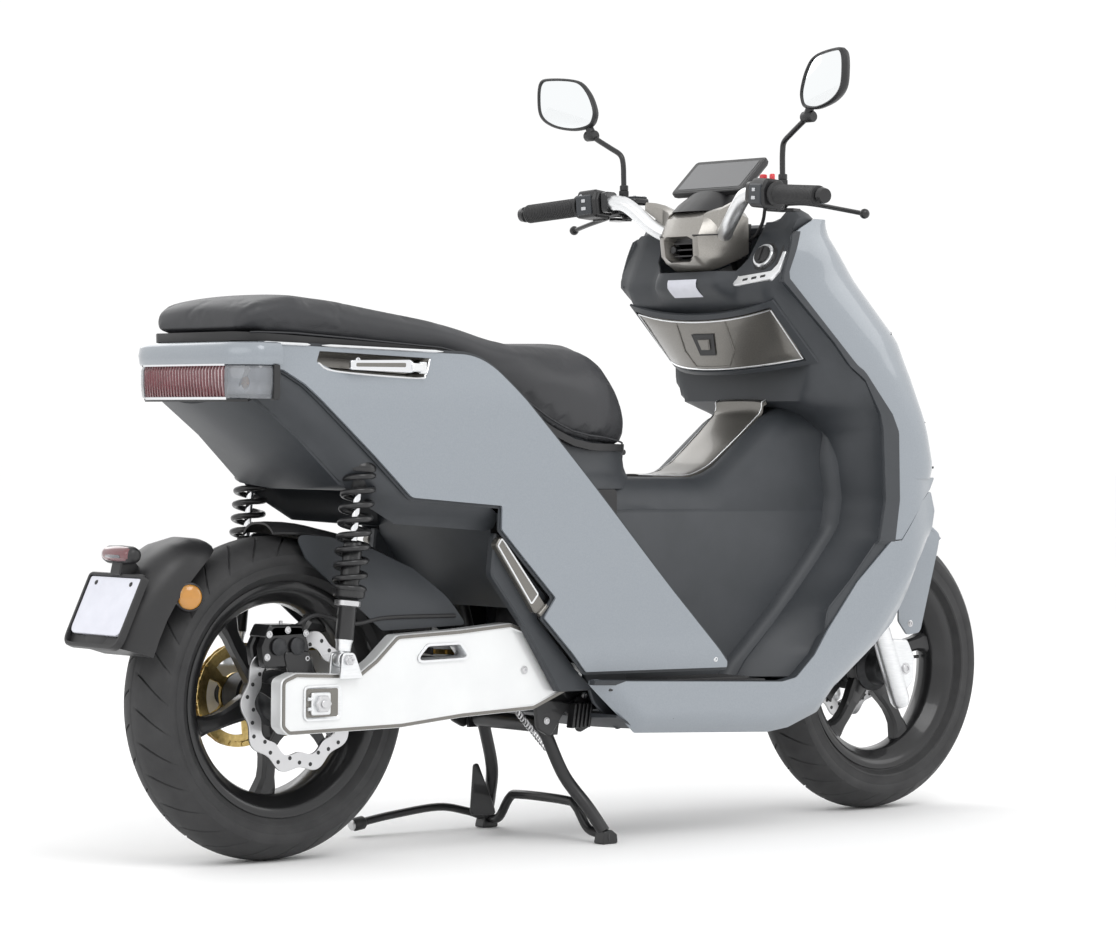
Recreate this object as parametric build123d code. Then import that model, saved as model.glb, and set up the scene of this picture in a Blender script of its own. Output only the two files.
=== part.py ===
from build123d import *
from math import cos, radians, sin, tan
import os

# Moped scooter, millimetres. Sizes below are written with X forward from the rear axle,
# Y to the left from the middle plane and Z up from the ground. Every part is written with
# the origin moved to the ground under the middle of the scooter's length.

# ---- driving dimensions -------------------------------------------------------------------
WHEELBASE = 1390.0
REAR_RADIUS = 262.0
FRONT_RADIUS = 265.0
REAR_TYRE_WIDTH = 119.0
FRONT_TYRE_WIDTH = 112.0
RIM_RADIUS = 190.0
SPOKES = 5
TAIL_END = -340.0
LENGTH = WHEELBASE + FRONT_RADIUS - TAIL_END
ORIGIN_X = TAIL_END + LENGTH / 2

RAKE = 23.0
TRAIL_X = 1361.0
LEG_Y = 88.0
STANCHION_R = 15.5
SLIDER_R = 19.5
SLIDER_LOW_Z = 195.0
SLIDER_LENGTH = 300.0
RUNNING_FIT = 0.1

ARM_OUTER_Y = 150.0
ARM_WIDTH = 32.0
PIVOT = (517.0, 289.0)
AXLE_R = 10.0
CHAIN_Y = 78.0
CHAIN_PITCH = 12.7
HUGGER_HALF = 66.0
REAR_TEETH = 40
MOTOR_TEETH = 12
DISC_Y = -88.0
REAR_DISC_R = 116.0
FRONT_DISC_R = 100.0

SHOCK_Y = 145.0
SHOCK_LOW = (42.0, 330.0)
SHOCK_TOP = (78.0, 668.0)

STAND_PIVOT = (519.0, 200.0)
STAND_FOOT = (598.0, 160.0)
STAND_R = 11.0

BAR_R = 11.0
BAR_BEND = (905.0, 170.0, 1116.0)
BAR_END = (869.0, 385.0, 1100.0)
BAR_CLAMP = (936.0, 80.0, 1055.0)
GRIP_R = 16.5
LEVER_PIVOT = (946.0, 214.0, 1100.0)
LEVER_BALL = (981.0, 379.0, 1075.0)
MIRROR_BASE = (952.0, 207.0, 1128.0)
MIRROR_BEND = (950.0, 207.0, 1199.0)
MIRROR_BALL = (938.0, 282.0, 1244.0)
MIRROR_CENTRE = (922.0, 333.0, 1306.0)
MIRROR_YAW = 11.8

SEAT_HALF = 142.0
SEAT_HINGE = (752.0, 662.0)
PANEL_THICK = 7.0
SHIELD_HALF = 205.0
WALL = 5.0
NOTCH_HALF = 122.0
DOOR_HINGE = (1045.5, 824.5)
PEG_HINGE = (432.0, 180.0, 400.0)
HANDLE_HINGE = (180.0, 184.0)


# ---- helpers ------------------------------------------------------------------------------
def steer_point(z, y=0.0):
    """A point of the steering axis at height z, moved sideways to y."""
    return (TRAIL_X - tan(radians(RAKE)) * (z - FRONT_RADIUS), y, z)


def rod(start, end, radius):
    """A straight round bar between two points."""
    start = Vector(*start)
    run = Vector(*end) - start
    bar = Cylinder(radius, run.length, align=(Align.CENTER, Align.CENTER, Align.MIN))
    return Plane(origin=start, z_dir=run) * bar


def cross_rod(x, z, y0, y1, radius):
    """A round bar across the scooter."""
    return rod((x, y0, z), (x, y1, z), radius)


def tube(points, radius, bend):
    """A round bar bent through the points."""
    path = FilletPolyline(*points, radius=bend)
    return sweep(Plane(origin=path @ 0, z_dir=path % 0) * Circle(radius), path=path)


def slab(outline, y0, y1):
    """A side-view outline, as x and z pairs, made solid from y0 to y1."""
    low, high = min(y0, y1), max(y0, y1)
    face = make_face(Polyline(*outline, close=True))
    return extrude(Plane.XZ.offset(-high) * face, amount=high - low)


def sheet(line, thickness, y0, y1):
    """A bent sheet whose side view follows a line of x and z pairs."""
    low, high = min(y0, y1), max(y0, y1)
    band = Plane.XZ.offset(-high) * trace(Polyline(*line), line_width=thickness)
    return extrude(band, amount=high - low)


def block(x0, x1, y0, y1, z0, z1):
    """A box between two corners."""
    low = (min(x0, x1), min(y0, y1), min(z0, z1))
    size = (abs(x1 - x0), abs(y1 - y0), abs(z1 - z0))
    return Pos(*low) * Box(*size, align=(Align.MIN, Align.MIN, Align.MIN))


def turned(profile):
    """A ring about the Y axis from radius and y pairs."""
    return revolve(make_face(Polyline(*profile, close=True)), axis=Axis.Y)


def ring(outer, inner, y0, y1):
    """A flat ring about the Y axis."""
    return turned([(inner, y0), (outer, y0), (outer, y1), (inner, y1)])


def spun(shape, count):
    """Copies of a shape turned evenly about the Y axis."""
    return [Rot(0, 360 * i / count, 0) * shape for i in range(count)]


def mirrored(shape):
    return mirror(shape, about=Plane.XZ)


def pair(shape):
    return [shape, mirrored(shape)]


def write(name, shape):
    """Write one sub-part, moved so that the origin is under the middle of the scooter."""
    move = Pos(-ORIGIN_X, 0, 0)
    if isinstance(shape, (list, tuple)):
        moved = Compound(children=[move * piece for piece in shape])
    else:
        moved = move * shape
    export_step(moved, f"parts/{name}.step")


def write_sides(name, left_shape):
    """Write a left part and its mirror image."""
    write(f"{name}_left", left_shape)
    write(f"{name}_right", mirrored(left_shape))


# ---- wheels -------------------------------------------------------------------------------
def tyre(radius, width, flange_y):
    """A hollow tyre, open towards the rim between its two beads."""
    half = width / 2
    shoulder = radius - 30
    bead = flange_y - 4.5
    outer_crown = ThreePointArc((shoulder, -half + 1), (radius, 0), (shoulder, half - 1))
    inner_crown = ThreePointArc((shoulder - 5, half - 10), (radius - 10, 0), (shoulder - 5, -half + 10))
    lines = [outer_crown, inner_crown]
    for side in (1, -1):
        wall = Polyline(
            (shoulder, side * (half - 1)),
            (206, side * (half - 2)),
            (RIM_RADIUS + 1, side * bead),
            (RIM_RADIUS - 10.5, side * bead),
            (RIM_RADIUS - 10.5, side * (bead - 9)),
            (204, side * (half - 12)),
            (shoulder - 5, side * (half - 10)),
        )
        lines.append(wall)
    return revolve(make_face(lines), axis=Axis.Y)


def rim(flange_y, hub_right, hub_left, spoke_thick):
    """A five-spoke rim with a bored hub."""
    half = []
    for r, y in (
        (RIM_RADIUS, flange_y),
        (RIM_RADIUS, flange_y - 4),
        (RIM_RADIUS - 11, flange_y - 4),
        (RIM_RADIUS - 11, flange_y - 14),
        (RIM_RADIUS - 22, flange_y - 22),
    ):
        half.append((r, y))
    inner = [(r - 6, y) for r, y in reversed(half[3:])] + [(RIM_RADIUS - 17, flange_y)]
    outer_run = half + [(r, -y) for r, y in reversed(half)]
    inner_run = [(r, -y) for r, y in reversed(inner)] + inner
    barrel = turned(outer_run + inner_run)
    spoke_outline = [(28, -20), (95, -12), (166, -17), (166, 17), (95, 12), (28, 20)]
    spoke = slab(spoke_outline, -spoke_thick / 2, spoke_thick / 2)
    hub = cross_rod(0, 0, hub_right, hub_left, 36)
    bore = cross_rod(0, 0, hub_right - 1, hub_left + 1, AXLE_R + RUNNING_FIT)
    whole = barrel + spun(spoke, SPOKES) + hub
    return whole - bore


def brake_disc(radius, y, thick=4.0):
    """A floating brake disc: a ring, five arms and a centre with the wheel bolts."""
    band = ring(radius, radius - 26, y - thick / 2, y + thick / 2)
    centre = ring(44, AXLE_R + 4, y - thick / 2, y + thick / 2)
    arm = block(40, radius - 24, y - thick / 2, y + thick / 2, -9, 9)
    return band + centre + spun(arm, SPOKES)


def sprocket(teeth, y, bore):
    """A chain wheel with simple teeth."""
    pitch_r = CHAIN_PITCH / (2 * sin(radians(180 / teeth)))
    body = ring(pitch_r - 3.5, bore, y - 2.5, y + 2.5)
    tooth = slab(
        [(pitch_r - 6, -4), (pitch_r + 3, -1.5), (pitch_r + 3, 1.5), (pitch_r - 6, 4)], y - 2.5, y + 2.5
    )
    gear = body + spun(tooth, teeth)
    if pitch_r > 60:
        window = Pos(pitch_r * 0.6, y, 0) * Rot(90, 0, 0) * Cylinder(pitch_r * 0.14, 8)
        gear = gear - spun(window, SPOKES)
    return gear


def rear_wheel():
    at = Pos(0, 0, REAR_RADIUS)
    flange = 50.0
    write("rear_tyre", at * tyre(REAR_RADIUS, REAR_TYRE_WIDTH, flange))
    write("rear_rim", at * rim(flange, DISC_Y + 2, CHAIN_Y - 2.5, 30))
    write("rear_disc", at * brake_disc(REAR_DISC_R, DISC_Y))
    write("rear_sprocket", at * sprocket(REAR_TEETH, CHAIN_Y, AXLE_R + 4))


def front_wheel():
    at = Pos(WHEELBASE, 0, FRONT_RADIUS)
    flange = 42.0
    write("front_tyre", at * tyre(FRONT_RADIUS, FRONT_TYRE_WIDTH, flange))
    write("front_rim", at * rim(flange, -50, 58, 28))
    write("front_disc", at * brake_disc(FRONT_DISC_R, 60))


# ---- swingarm and drive -------------------------------------------------------------------
def belt_face(radius_rear, radius_front):
    """The side view of a belt round the rear axle and the swingarm pivot."""
    run = Vector(PIVOT[0], PIVOT[1] - REAR_RADIUS)
    along = run.normalized()
    across = Vector(-along.Y, along.X)
    lean = (radius_rear - radius_front) / run.length
    rise = (1 - lean * lean) ** 0.5
    corners = []
    for centre, radius, side in (
        (Vector(0, 0), radius_rear, 1),
        (run, radius_front, 1),
        (run, radius_front, -1),
        (Vector(0, 0), radius_rear, -1),
    ):
        corners.append(centre + along * (radius * lean) + across * (side * radius * rise))
    web = make_face(Polyline(*[(c.X, c.Y) for c in corners], close=True))
    front_disc = Pos(run.X, run.Y) * Circle(radius_front)
    return web + Circle(radius_rear) + front_disc


def chain():
    """Two rows of side plates, joined by pins along the two straight runs."""
    rear_r = CHAIN_PITCH / (2 * sin(radians(180 / REAR_TEETH)))
    front_r = CHAIN_PITCH / (2 * sin(radians(180 / MOTOR_TEETH)))
    band = belt_face(rear_r + 4.5, front_r + 4.5) - belt_face(rear_r - 4.5, front_r - 4.5)
    rows = []
    for low in (CHAIN_Y - 6.5, CHAIN_Y + 3.5):
        rows.append(Pos(0, low + 3, REAR_RADIUS) * Rot(90, 0, 0) * extrude(band, amount=3))
    whole = rows[0] + rows[1]
    slope = (PIVOT[1] - REAR_RADIUS) / PIVOT[0]
    taper = (rear_r - front_r) / PIVOT[0]
    for x in range(120, 440, 64):
        for side in (1, -1):
            z = REAR_RADIUS + slope * x + side * (rear_r * 1.006 - taper * x)
            whole = whole + cross_rod(x, z, CHAIN_Y - 6.5, CHAIN_Y + 6.5, 3.5)
    return whole


def arm_plate():
    """The left arm: a deep box with one long slot and an axle adjuster recess."""
    outline = [
        (-82, 262),
        (-80, 300),
        (-62, 312),
        (71, 306),
        (112, 332),
        (148, 365),
        (280, 371),
        (389, 379),
        (445, 361),
        (508, 312),
        (543, 300),
        (543, 272),
        (520, 262),
        (441, 233),
        (287, 227),
        (160, 216),
        (-70, 214),
        (-82, 228),
    ]
    plate = slab(outline, ARM_OUTER_Y - ARM_WIDTH, ARM_OUTER_Y)
    slot = slab([(190, 323), (216, 345), (278, 345), (297, 325)], 0, 200)
    adjuster = slab([(-32, 240), (32, 240), (32, 286), (-32, 286)], ARM_OUTER_Y - 9, 200)
    bore = cross_rod(PIVOT[0], PIVOT[1], 100, 170, 12 + RUNNING_FIT)
    return plate - slot - adjuster - bore


def shock_bracket():
    """Two ears above the arm that hold the lower eye of the shock on a pin."""
    x, z = SHOCK_LOW
    ears = [
        slab([(x - 16, 300), (x + 30, 300), (x + 12, z + 12), (x - 12, z + 12)], y, y + 5)
        for y in (SHOCK_Y - 17, SHOCK_Y + 12)
    ]
    return ears + [cross_rod(x, z, SHOCK_Y - 17, SHOCK_Y + 17, 5)]


def rear_caliper():
    """A caliper that straddles the disc behind the axle, on a bracket from the axle."""
    body = block(-82, -8, DISC_Y - 24, DISC_Y + 22, 330, 384)
    groove = block(-100, 10, DISC_Y - 4, DISC_Y + 4, 300, REAR_RADIUS + REAR_DISC_R + 3)
    bracket = slab([(-22, 250), (22, 250), (22, 275), (-8, 345), (-50, 345)], DISC_Y - 28, DISC_Y - 22)
    return body - groove + bracket


def swingarm():
    left = arm_plate()
    for piece in shock_bracket():
        left = left + piece
    bridge = block(300, 352, ARM_WIDTH - ARM_OUTER_Y, ARM_OUTER_Y - ARM_WIDTH, 262, 318)
    chain_gap = block(290, 360, CHAIN_Y - 9, CHAIN_Y + 9, 200, 400)
    axle = cross_rod(0, REAR_RADIUS, -ARM_OUTER_Y + 4, ARM_OUTER_Y - 4, AXLE_R)
    arms = left + mirrored(left) + (bridge - chain_gap) + block(320, 332, 60, 120, 225, 237)
    gap_strut = block(300, 352, 60, ARM_OUTER_Y - ARM_WIDTH, 306, 318)
    below = belt_clear()
    arms = arms + (gap_strut - below)
    write("swingarm", (arms + axle) - below)
    write("rear_caliper", rear_caliper() - cross_rod(0, REAR_RADIUS, -200, 200, AXLE_R))
    write("chain", chain())


def belt_clear():
    """The room that the chain needs between the arms."""
    rear_r = CHAIN_PITCH / (2 * sin(radians(180 / REAR_TEETH))) + 8
    front_r = CHAIN_PITCH / (2 * sin(radians(180 / MOTOR_TEETH))) + 8
    band = belt_face(rear_r, front_r) - belt_face(rear_r - 18, front_r - 18)
    return Pos(0, CHAIN_Y + 9, REAR_RADIUS) * Rot(90, 0, 0) * extrude(band, amount=18)


def hugger_point(angle, radius):
    """A point above the rear tyre, in side view."""
    return (radius * cos(radians(angle)), REAR_RADIUS + radius * sin(radians(angle)))


def rear_hugger():
    """A mudguard on the arms, and a hollow rear piece that a stay carries behind the tyre."""
    arch = []
    for angle in range(94, 41, -4):
        flare = max(0, 76 - angle) ** 1.5 / 5
        arch.append(hugger_point(angle, 285 + flare))
    guard = sheet(arch + [(284, 430), (304, 380), (308, 322)], 4, -HUGGER_HALF, HUGGER_HALF)
    for side in (1, -1):
        edge = side * HUGGER_HALF
        foot = slab([(176, 373), (250, 373), (240, 480), (186, 507)], edge, edge - side * 4)
        tab = block(176, 250, edge - side * 4, side * (ARM_OUTER_Y - 20), 373, 378)
        guard = guard + foot + tab
    inner = [hugger_point(angle, 280) for angle in range(163, 121, -8)]
    wedge = slab([(-150, 507), (-181, 523), (-271, 474), (-340, 322), (-300, 316)] + inner, -70, 70)
    room = [(-168, 497), (-184, 515), (-264, 470), (-330, 325), (-320, 290), (-278, 290)]
    room = room + [hugger_point(angle, 285) for angle in range(163, 126, -6)]
    lamp_neck = block(-290, -262, -12, 12, 466, 490)
    lamp = rod((-283, -38, 496), (-283, 38, 496), 15)
    arm_side = ARM_OUTER_Y - ARM_WIDTH
    stay = tube([(-66, arm_side, 296), (-66, 102, 296), (-150, 92, 440), (-196, 64, 486)], 6, 8)
    return guard + (wedge - slab(room, -66, 66)) + lamp_neck + lamp + stay


def number_plate():
    """A blank plate with round corners on the rear face of its carrier."""
    low = Vector(-339, 0, 352)
    high = Vector(-284, 0, 470)
    up = (high - low).normalized()
    plane = Plane(origin=(low + high) * 0.5, x_dir=(0, 1, 0), z_dir=Vector(0, 1, 0).cross(up))
    return extrude(plane * RectangleRounded(146, 116, 12), amount=-3)


def motor():
    """A motor in front of the swingarm pivot, with a gear case out to the drive sprocket."""
    case = cross_rod(612, 364, -72, 52, 88)
    gear_case = slab([(517, 335), (612, 440), (612, 280), (517, 243)], 20, 66)
    output = cross_rod(PIVOT[0], PIVOT[1], 20, 66, 40)
    shaft = cross_rod(PIVOT[0], PIVOT[1], 60, CHAIN_Y + 6, 9)
    return case + gear_case + output + shaft


# ---- shocks -------------------------------------------------------------------------------
def shock_line(distance):
    """A point of the left shock, measured up from its lower eye."""
    low = Vector(SHOCK_LOW[0], SHOCK_Y, SHOCK_LOW[1])
    top = Vector(SHOCK_TOP[0], SHOCK_Y, SHOCK_TOP[1])
    return tuple(low + (top - low).normalized() * distance)


def shocks():
    length = ((SHOCK_TOP[0] - SHOCK_LOW[0]) ** 2 + (SHOCK_TOP[1] - SHOCK_LOW[1]) ** 2) ** 0.5
    top_eye = cross_rod(*SHOCK_TOP, SHOCK_Y - 11, SHOCK_Y + 11, 15)
    top_cap = rod(shock_line(length - 34), shock_line(length - 12), 26)
    shaft = rod(shock_line(length - 190), shock_line(length - 20), 6)
    upper = top_eye + top_cap + shaft - cross_rod(*SHOCK_TOP, SHOCK_Y - 30, SHOCK_Y + 30, 6 + RUNNING_FIT)
    low_eye = cross_rod(*SHOCK_LOW, SHOCK_Y - 10, SHOCK_Y + 10, 14)
    body = rod(shock_line(28), shock_line(190), 17) + rod(shock_line(8), shock_line(30), 9)
    seat = rod(shock_line(104), shock_line(114), 27)
    shaft_bore = rod(shock_line(50), shock_line(200), 6 + RUNNING_FIT)
    pin_bore = cross_rod(*SHOCK_LOW, SHOCK_Y - 30, SHOCK_Y + 30, 8)
    lower = low_eye + body + seat - shaft_bore - pin_bore
    coil = rod(shock_line(115), shock_line(length - 35), 26) - rod(shock_line(110), shock_line(length), 19)
    write_sides("shock_upper", upper)
    write_sides("shock_lower", lower)
    write_sides("shock_spring", coil)


# ---- chassis ------------------------------------------------------------------------------
def main_frame():
    """Head tube, spine, floor rails, pivot plates and rear rails, welded into one frame."""
    low, high = steer_point(706), steer_point(852)
    spine = tube([(1135, 0, 810), (1137, 0, 540), (1098, 0, 430), (1000, 0, 236)], 12, 60)
    cross = cross_rod(985, 236, -76, 76, 15)
    frame = rod(low, high, 30) + spine + cross
    for side in (-1, 1):
        y = side * 92
        rail = tube([(985, side * 66, 236), (930, side * 80, 236), (560, y, 236), (500, y, 330)], 14, 50)
        seat_rail = tube([(505, y, 320), (430, y, 560), (120, y, 716), (-70, side * 80, 744)], 13, 60)
        plate = slab([(470, 262), (560, 222), (575, 250), (560, 330), (500, 420), (470, 400)], side * 97, side * 105)
        stub = cross_rod(*PIVOT, side * 100, side * (ARM_OUTER_Y + 14), 12)
        shock_pin = cross_rod(*SHOCK_TOP, side * 92, side * (SHOCK_Y + 17), 6)
        shock_plate = slab([(58, 655), (98, 655), (110, 735), (60, 745)], side * 86, side * 98)
        ear = slab([(500, 238), (540, 238), (532, 184), (506, 184)], side * 99, side * 105)
        frame = frame + rail + seat_rail + plate + stub + shock_pin + shock_plate + ear
    frame = frame + cross_rod(430, 560, -92, 92, 13) + cross_rod(-70, 744, -80, 80, 13)
    frame = frame + cross_rod(*STAND_PIVOT, -105, 105, 8)
    frame = frame - rod(steer_point(680), steer_point(900), 20 + RUNNING_FIT)
    gear_room = cross_rod(*PIVOT, -96, 96, 46)
    return frame - gear_room


def battery_pack():
    """One pack in the tunnel and one ahead of the rear wheel."""
    return [block(720, 950, -80, 80, 430, 590), block(455, 572, -76, 76, 460, 610)]


def side_panel():
    """The left body panel from the tail lamp to the floor."""
    outline = [
        (-142, 826),
        (214, 821),
        (268, 819),
        (316, 806),
        (354, 779),
        (438, 696),
        (705, 428),
        (833, 302),
        (833, 293),
        (522, 296),
        (428, 388),
        (452, 421),
        (336, 535),
        (335, 576),
        (153, 589),
        (77, 659),
        (-51, 770),
        (-88, 790),
        (-140, 800),
    ]
    handle_notch = slab([(2, 840), (12, 780), (192, 778), (216, 840)], -20, 20)
    panel = slab(outline, 0, PANEL_THICK) - handle_notch
    return Pos(-142, 164, 0) * Rot(0, 0, 2.6) * Pos(142, 0, 0) * panel


def under_tail():
    """The undertray behind the panels: two cheeks and a roof over the rear wheel."""
    roof = [(-150, 742), (-126, 722), (-47, 668), (74, 600), (330, 600), (345, 520), (440, 395)]
    tray = sheet(roof, WALL, -78, 78)
    cheek_outline = [
        (-150, 742),
        (-126, 720),
        (-47, 666),
        (60, 604),
        (153, 540),
        (335, 534),
        (440, 420),
        (430, 392),
        (445, 392),
        (470, 440),
        (350, 590),
        (160, 604),
        (90, 664),
        (-45, 772),
        (-150, 790),
    ]
    cheek = slab(cheek_outline, 155, 160)
    well = block(30, 112, 110, 170, 555, 700)
    return [tray] + pair(cheek - well)


def floor_tunnel():
    """The floor and the raised tunnel between the seat and the leg shield."""
    outer = [(580, 272), (580, 602), (760, 618), (940, 621), (1086, 728), (1102, 600), (1098, 541), (976, 408), (866, 300), (866, 272)]
    shell = slab(outer, -98, 98)
    hollow = [(540, 260), (540, 592), (762, 612), (938, 614), (1078, 718), (1094, 600), (1090, 545), (968, 412), (858, 306), (858, 260)]
    shell = shell - slab(hollow, -93, 93)
    floor = block(600, 866, -190, 190, 262, 272)
    hinge_bore = cross_rod(*SEAT_HINGE, -80, 80, 5 + RUNNING_FIT)
    for side in (-1, 1):
        x, z = SEAT_HINGE
        ear = slab([(x - 14, 610), (x + 12, 614), (x + 7, z), (x - 7, z)], side * 62, side * 68)
        shell = shell + ear + cross_rod(x, z, side * 62, side * 68, 8)
    cap = sheet([(802, 629), (938, 629), (1002, 676), (1094, 744)], 6, -72, 72)
    return [shell + floor - hinge_bore, cap]


def leg_shield():
    """The inner face of the front: dash, glovebox opening, knee panel and toe board."""
    line = [(986, 1050), (948, 970), (965, 922), (1061, 826), (1102, 762), (1118, 600), (1114, 533), (992, 396), (884, 300), (872, 262)]
    face = sheet(line, WALL, -SHIELD_HALF, SHIELD_HALF)
    mouth = Plane(origin=(1013, 0, 874), z_dir=(1, 0, 1)) * Box(112, 320, 40)
    column = block(900, 1010, -NOTCH_HALF, NOTCH_HALF, 974, 1070)
    knob_hole = knob_plane() * Cylinder(13, 60)
    return face - mouth - column - knob_hole


def front_panel():
    """The painted shield: two cheeks and a nose, open at the back and at the top."""
    outer = [
        (996, 1056),
        (1077, 1079),
        (1303, 868),
        (1368, 720),
        (1402, 640),
        (1392, 618),
        (1350, 618),
        (1239, 585),
        (1236, 702),
        (1219, 734),
        (1146, 810),
        (1118, 820),
        (953, 978),
    ]
    inner = [(900, 1068), (1070, 1068), (1296, 862), (1361, 716), (1394, 640), (1388, 560), (1180, 560), (1100, 700), (900, 900)]
    shell = slab(outer, -212, 212) - slab(inner, -206, 206)
    lamp_hole = slab([(1370, 724), (1420, 660), (1392, 644), (1350, 712)], -106, 106)
    return shell - block(940, 1090, -170, 170, 1000, 1100) - lamp_hole


def lower_fairing():
    """The left sill and the fairing beside the front wheel."""
    outline = [
        (522, 280),
        (957, 264),
        (992, 270),
        (1067, 350),
        (1143, 435),
        (1231, 510),
        (1239, 580),
        (1318, 582),
        (1352, 600),
        (1366, 560),
        (1352, 500),
        (1249, 359),
        (1207, 323),
        (1098, 247),
        (1059, 206),
        (987, 182),
        (938, 176),
        (622, 189),
    ]
    return slab(outline, 205, 212)


def belly():
    """The underside, joined to both sills."""
    return sheet([(582, 211), (640, 192), (940, 180), (988, 185), (1060, 207), (1092, 245)], WALL, -203, 203)


def storage_bin():
    """The compartment under the seat, open at the top."""
    outer = [(150, 790), (330, 770), (470, 672), (556, 640), (440, 625), (356, 618), (150, 618)]
    inner = [(154, 830), (334, 830), (470, 720), (540, 655), (440, 629), (356, 622), (154, 622)]
    return slab(outer, -78, 78) - slab(inner, -74, 74)


def glovebox_bin():
    """The pocket behind the glovebox door."""
    plane = Plane(origin=(1013, 0, 874), z_dir=(1, 0, 1))
    outer = plane * Pos(0, 0, 18) * Box(108, 316, 36)
    inner = plane * Pos(0, 0, 10) * Box(102, 310, 46)
    return outer - inner


def glovebox_door():
    """A door hinged at its lower edge, with room in the middle for the latch."""
    plane = Plane(origin=(1013, 0, 874), z_dir=(1, 0, 1))
    door = plane * Pos(0, 0, -9) * Box(116, 344, 6)
    latch_hole = plane * Pos(-16, 0, -9) * Box(40, 34, 20)
    barrel = cross_rod(*DOOR_HINGE, -60, 60, 4)
    return door - latch_hole + barrel


def glovebox_latch():
    """The latch lever in the door, with its pin along its upper edge."""
    plane = Plane(origin=(1013, 0, 874), z_dir=(1, 0, 1))
    pin = plane * Pos(-30, 0, -13) * Rot(90, 0, 0) * Cylinder(3, 32)
    return plane * Pos(-14, 0, -10) * Box(32, 32, 6) + pin


def knob_plane():
    """The face of the dash round the start knob, on the right."""
    return Plane(origin=(966, -158, 1004), z_dir=(-0.9, 0, 0.43))


def start_knob():
    """A round knob whose shaft turns in a fixed ring."""
    plane = knob_plane()
    knob = plane * Pos(0, 0, 14) * Cylinder(17, 16) + plane * Pos(0, 0, -6) * Cylinder(8, 30)
    ring_part = plane * Pos(0, 0, -4) * (Cylinder(12.5, 20) - Cylinder(8 + RUNNING_FIT, 20))
    return knob, ring_part


def tail_light():
    """The lamp across the tail, with an indicator at each end."""
    lamp = block(-168, -150, -112, 112, 744, 797)
    ends = [slab([(-166, 744), (-112, 741), (-112, 786), (-166, 797)], side * 114, side * 152) for side in (-1, 1)]
    return lamp, ends


def tail_cowl():
    """The painted tail between the two side panels, under the rear edge of the seat."""
    return slab([(-172, 815), (-150, 830), (-60, 832), (-60, 826), (-145, 822), (-145, 800), (-172, 800)], -150, 150)


def headlight():
    """The lamp in the nose."""
    return slab([(1376, 720), (1406, 652), (1398, 648), (1368, 716)], -105, 105)


def seat():
    """A two-level saddle with a deep nose."""
    outline = [
        (-148, 844),
        (-126, 893),
        (-53, 914),
        (353, 876),
        (485, 849),
        (620, 843),
        (713, 805),
        (766, 727),
        (774, 672),
        (590, 672),
        (498, 702),
        (342, 803),
        (255, 832),
    ]
    x, z = SEAT_HINGE
    hinge = cross_rod(x, z, -70, 70, 5) + block(x - 8, x + 8, -12, 12, z, 674)
    return slab(outline, -SEAT_HALF, SEAT_HALF) + hinge


def stand():
    """The centre stand: pivot tube, two legs, a bridge between the feet and a foot lever."""
    x, z = STAND_PIVOT
    foot_x, foot_y = STAND_FOOT
    shape = cross_rod(x, z, -90, 90, 14)
    for side in (-1, 1):
        leg = [(x, side * 80, z), (x + 40, side * 98, 110), (foot_x - 4, side * (foot_y - 4), 18)]
        shape = shape + tube(leg, STAND_R, 40)
        shape = shape + block(foot_x - 20, foot_x + 16, side * (foot_y - 14), side * (foot_y + 10), 0, 20)
    bridge = [(foot_x, -foot_y + 8, 16), (foot_x - 8, -58, 64), (foot_x - 8, 58, 64), (foot_x, foot_y - 8, 16)]
    shape = shape + tube(bridge, 8, 20)
    lever = [(foot_x - 10, foot_y, 18), (500, 176, 42), (330, 178, 22)]
    shape = shape + tube(lever, 7, 40) + rod((338, 178, 23), (314, 178, 20), 12)
    return shape - cross_rod(x, z, -100, 100, 8 + RUNNING_FIT)


def footpeg():
    """The left passenger peg, folded flush against the body, on a pin at its lower end."""
    x, y, z = PEG_HINGE
    barrel = rod((x - 9, y, z - 8), (x + 9, y, z + 8), 5)
    return slab([(330, 508), (342, 526), (440, 408), (430, 390), (414, 396)], 162, 180) + barrel


def grab_handle():
    """The left fold-out grab handle in its recess."""
    barrel = rod((*HANDLE_HINGE, 788), (*HANDLE_HINGE, 804), 4)
    return slab([(30, 790), (30, 806), (150, 810), (184, 804), (184, 788), (150, 788)], 172, 184) + barrel


# ---- steering -----------------------------------------------------------------------------
def bar_point(y):
    """A point on the straight outer run of the left handlebar."""
    share = (y - BAR_BEND[1]) / (BAR_END[1] - BAR_BEND[1])
    x = BAR_BEND[0] + share * (BAR_END[0] - BAR_BEND[0])
    z = BAR_BEND[2] + share * (BAR_END[2] - BAR_BEND[2])
    return (x, y, z)


def handlebar():
    """One bent bar across the scooter, with an end weight at each side."""
    left = [BAR_CLAMP, BAR_BEND, BAR_END]
    right = [(x, -y, z) for x, y, z in reversed(left)]
    weight = rod(BAR_END, bar_point(BAR_END[1] + 8), 14)
    return tube(right + left, BAR_R, 30) + weight + mirrored(weight)


def steering_stem(bar):
    """The stem, the lower yoke, both fork tubes and the clamp that holds the handlebar."""
    stem = rod(steer_point(684), steer_point(862), 20) + rod(steer_point(860), steer_point(1046), 15)
    axis = Vector(*steer_point(800)) - Vector(*steer_point(700))
    yoke = Plane(origin=steer_point(670), x_dir=(0, 1, 0), z_dir=axis) * extrude(SlotOverall(216, 40), 24)
    clamp = block(916, 1046, -32, 32, 1034, 1074) - bar
    shape = stem + yoke + clamp
    for side in (-1, 1):
        shape = shape + rod(steer_point(282, side * LEG_Y), steer_point(692, side * LEG_Y), STANCHION_R)
    return shape


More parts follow.
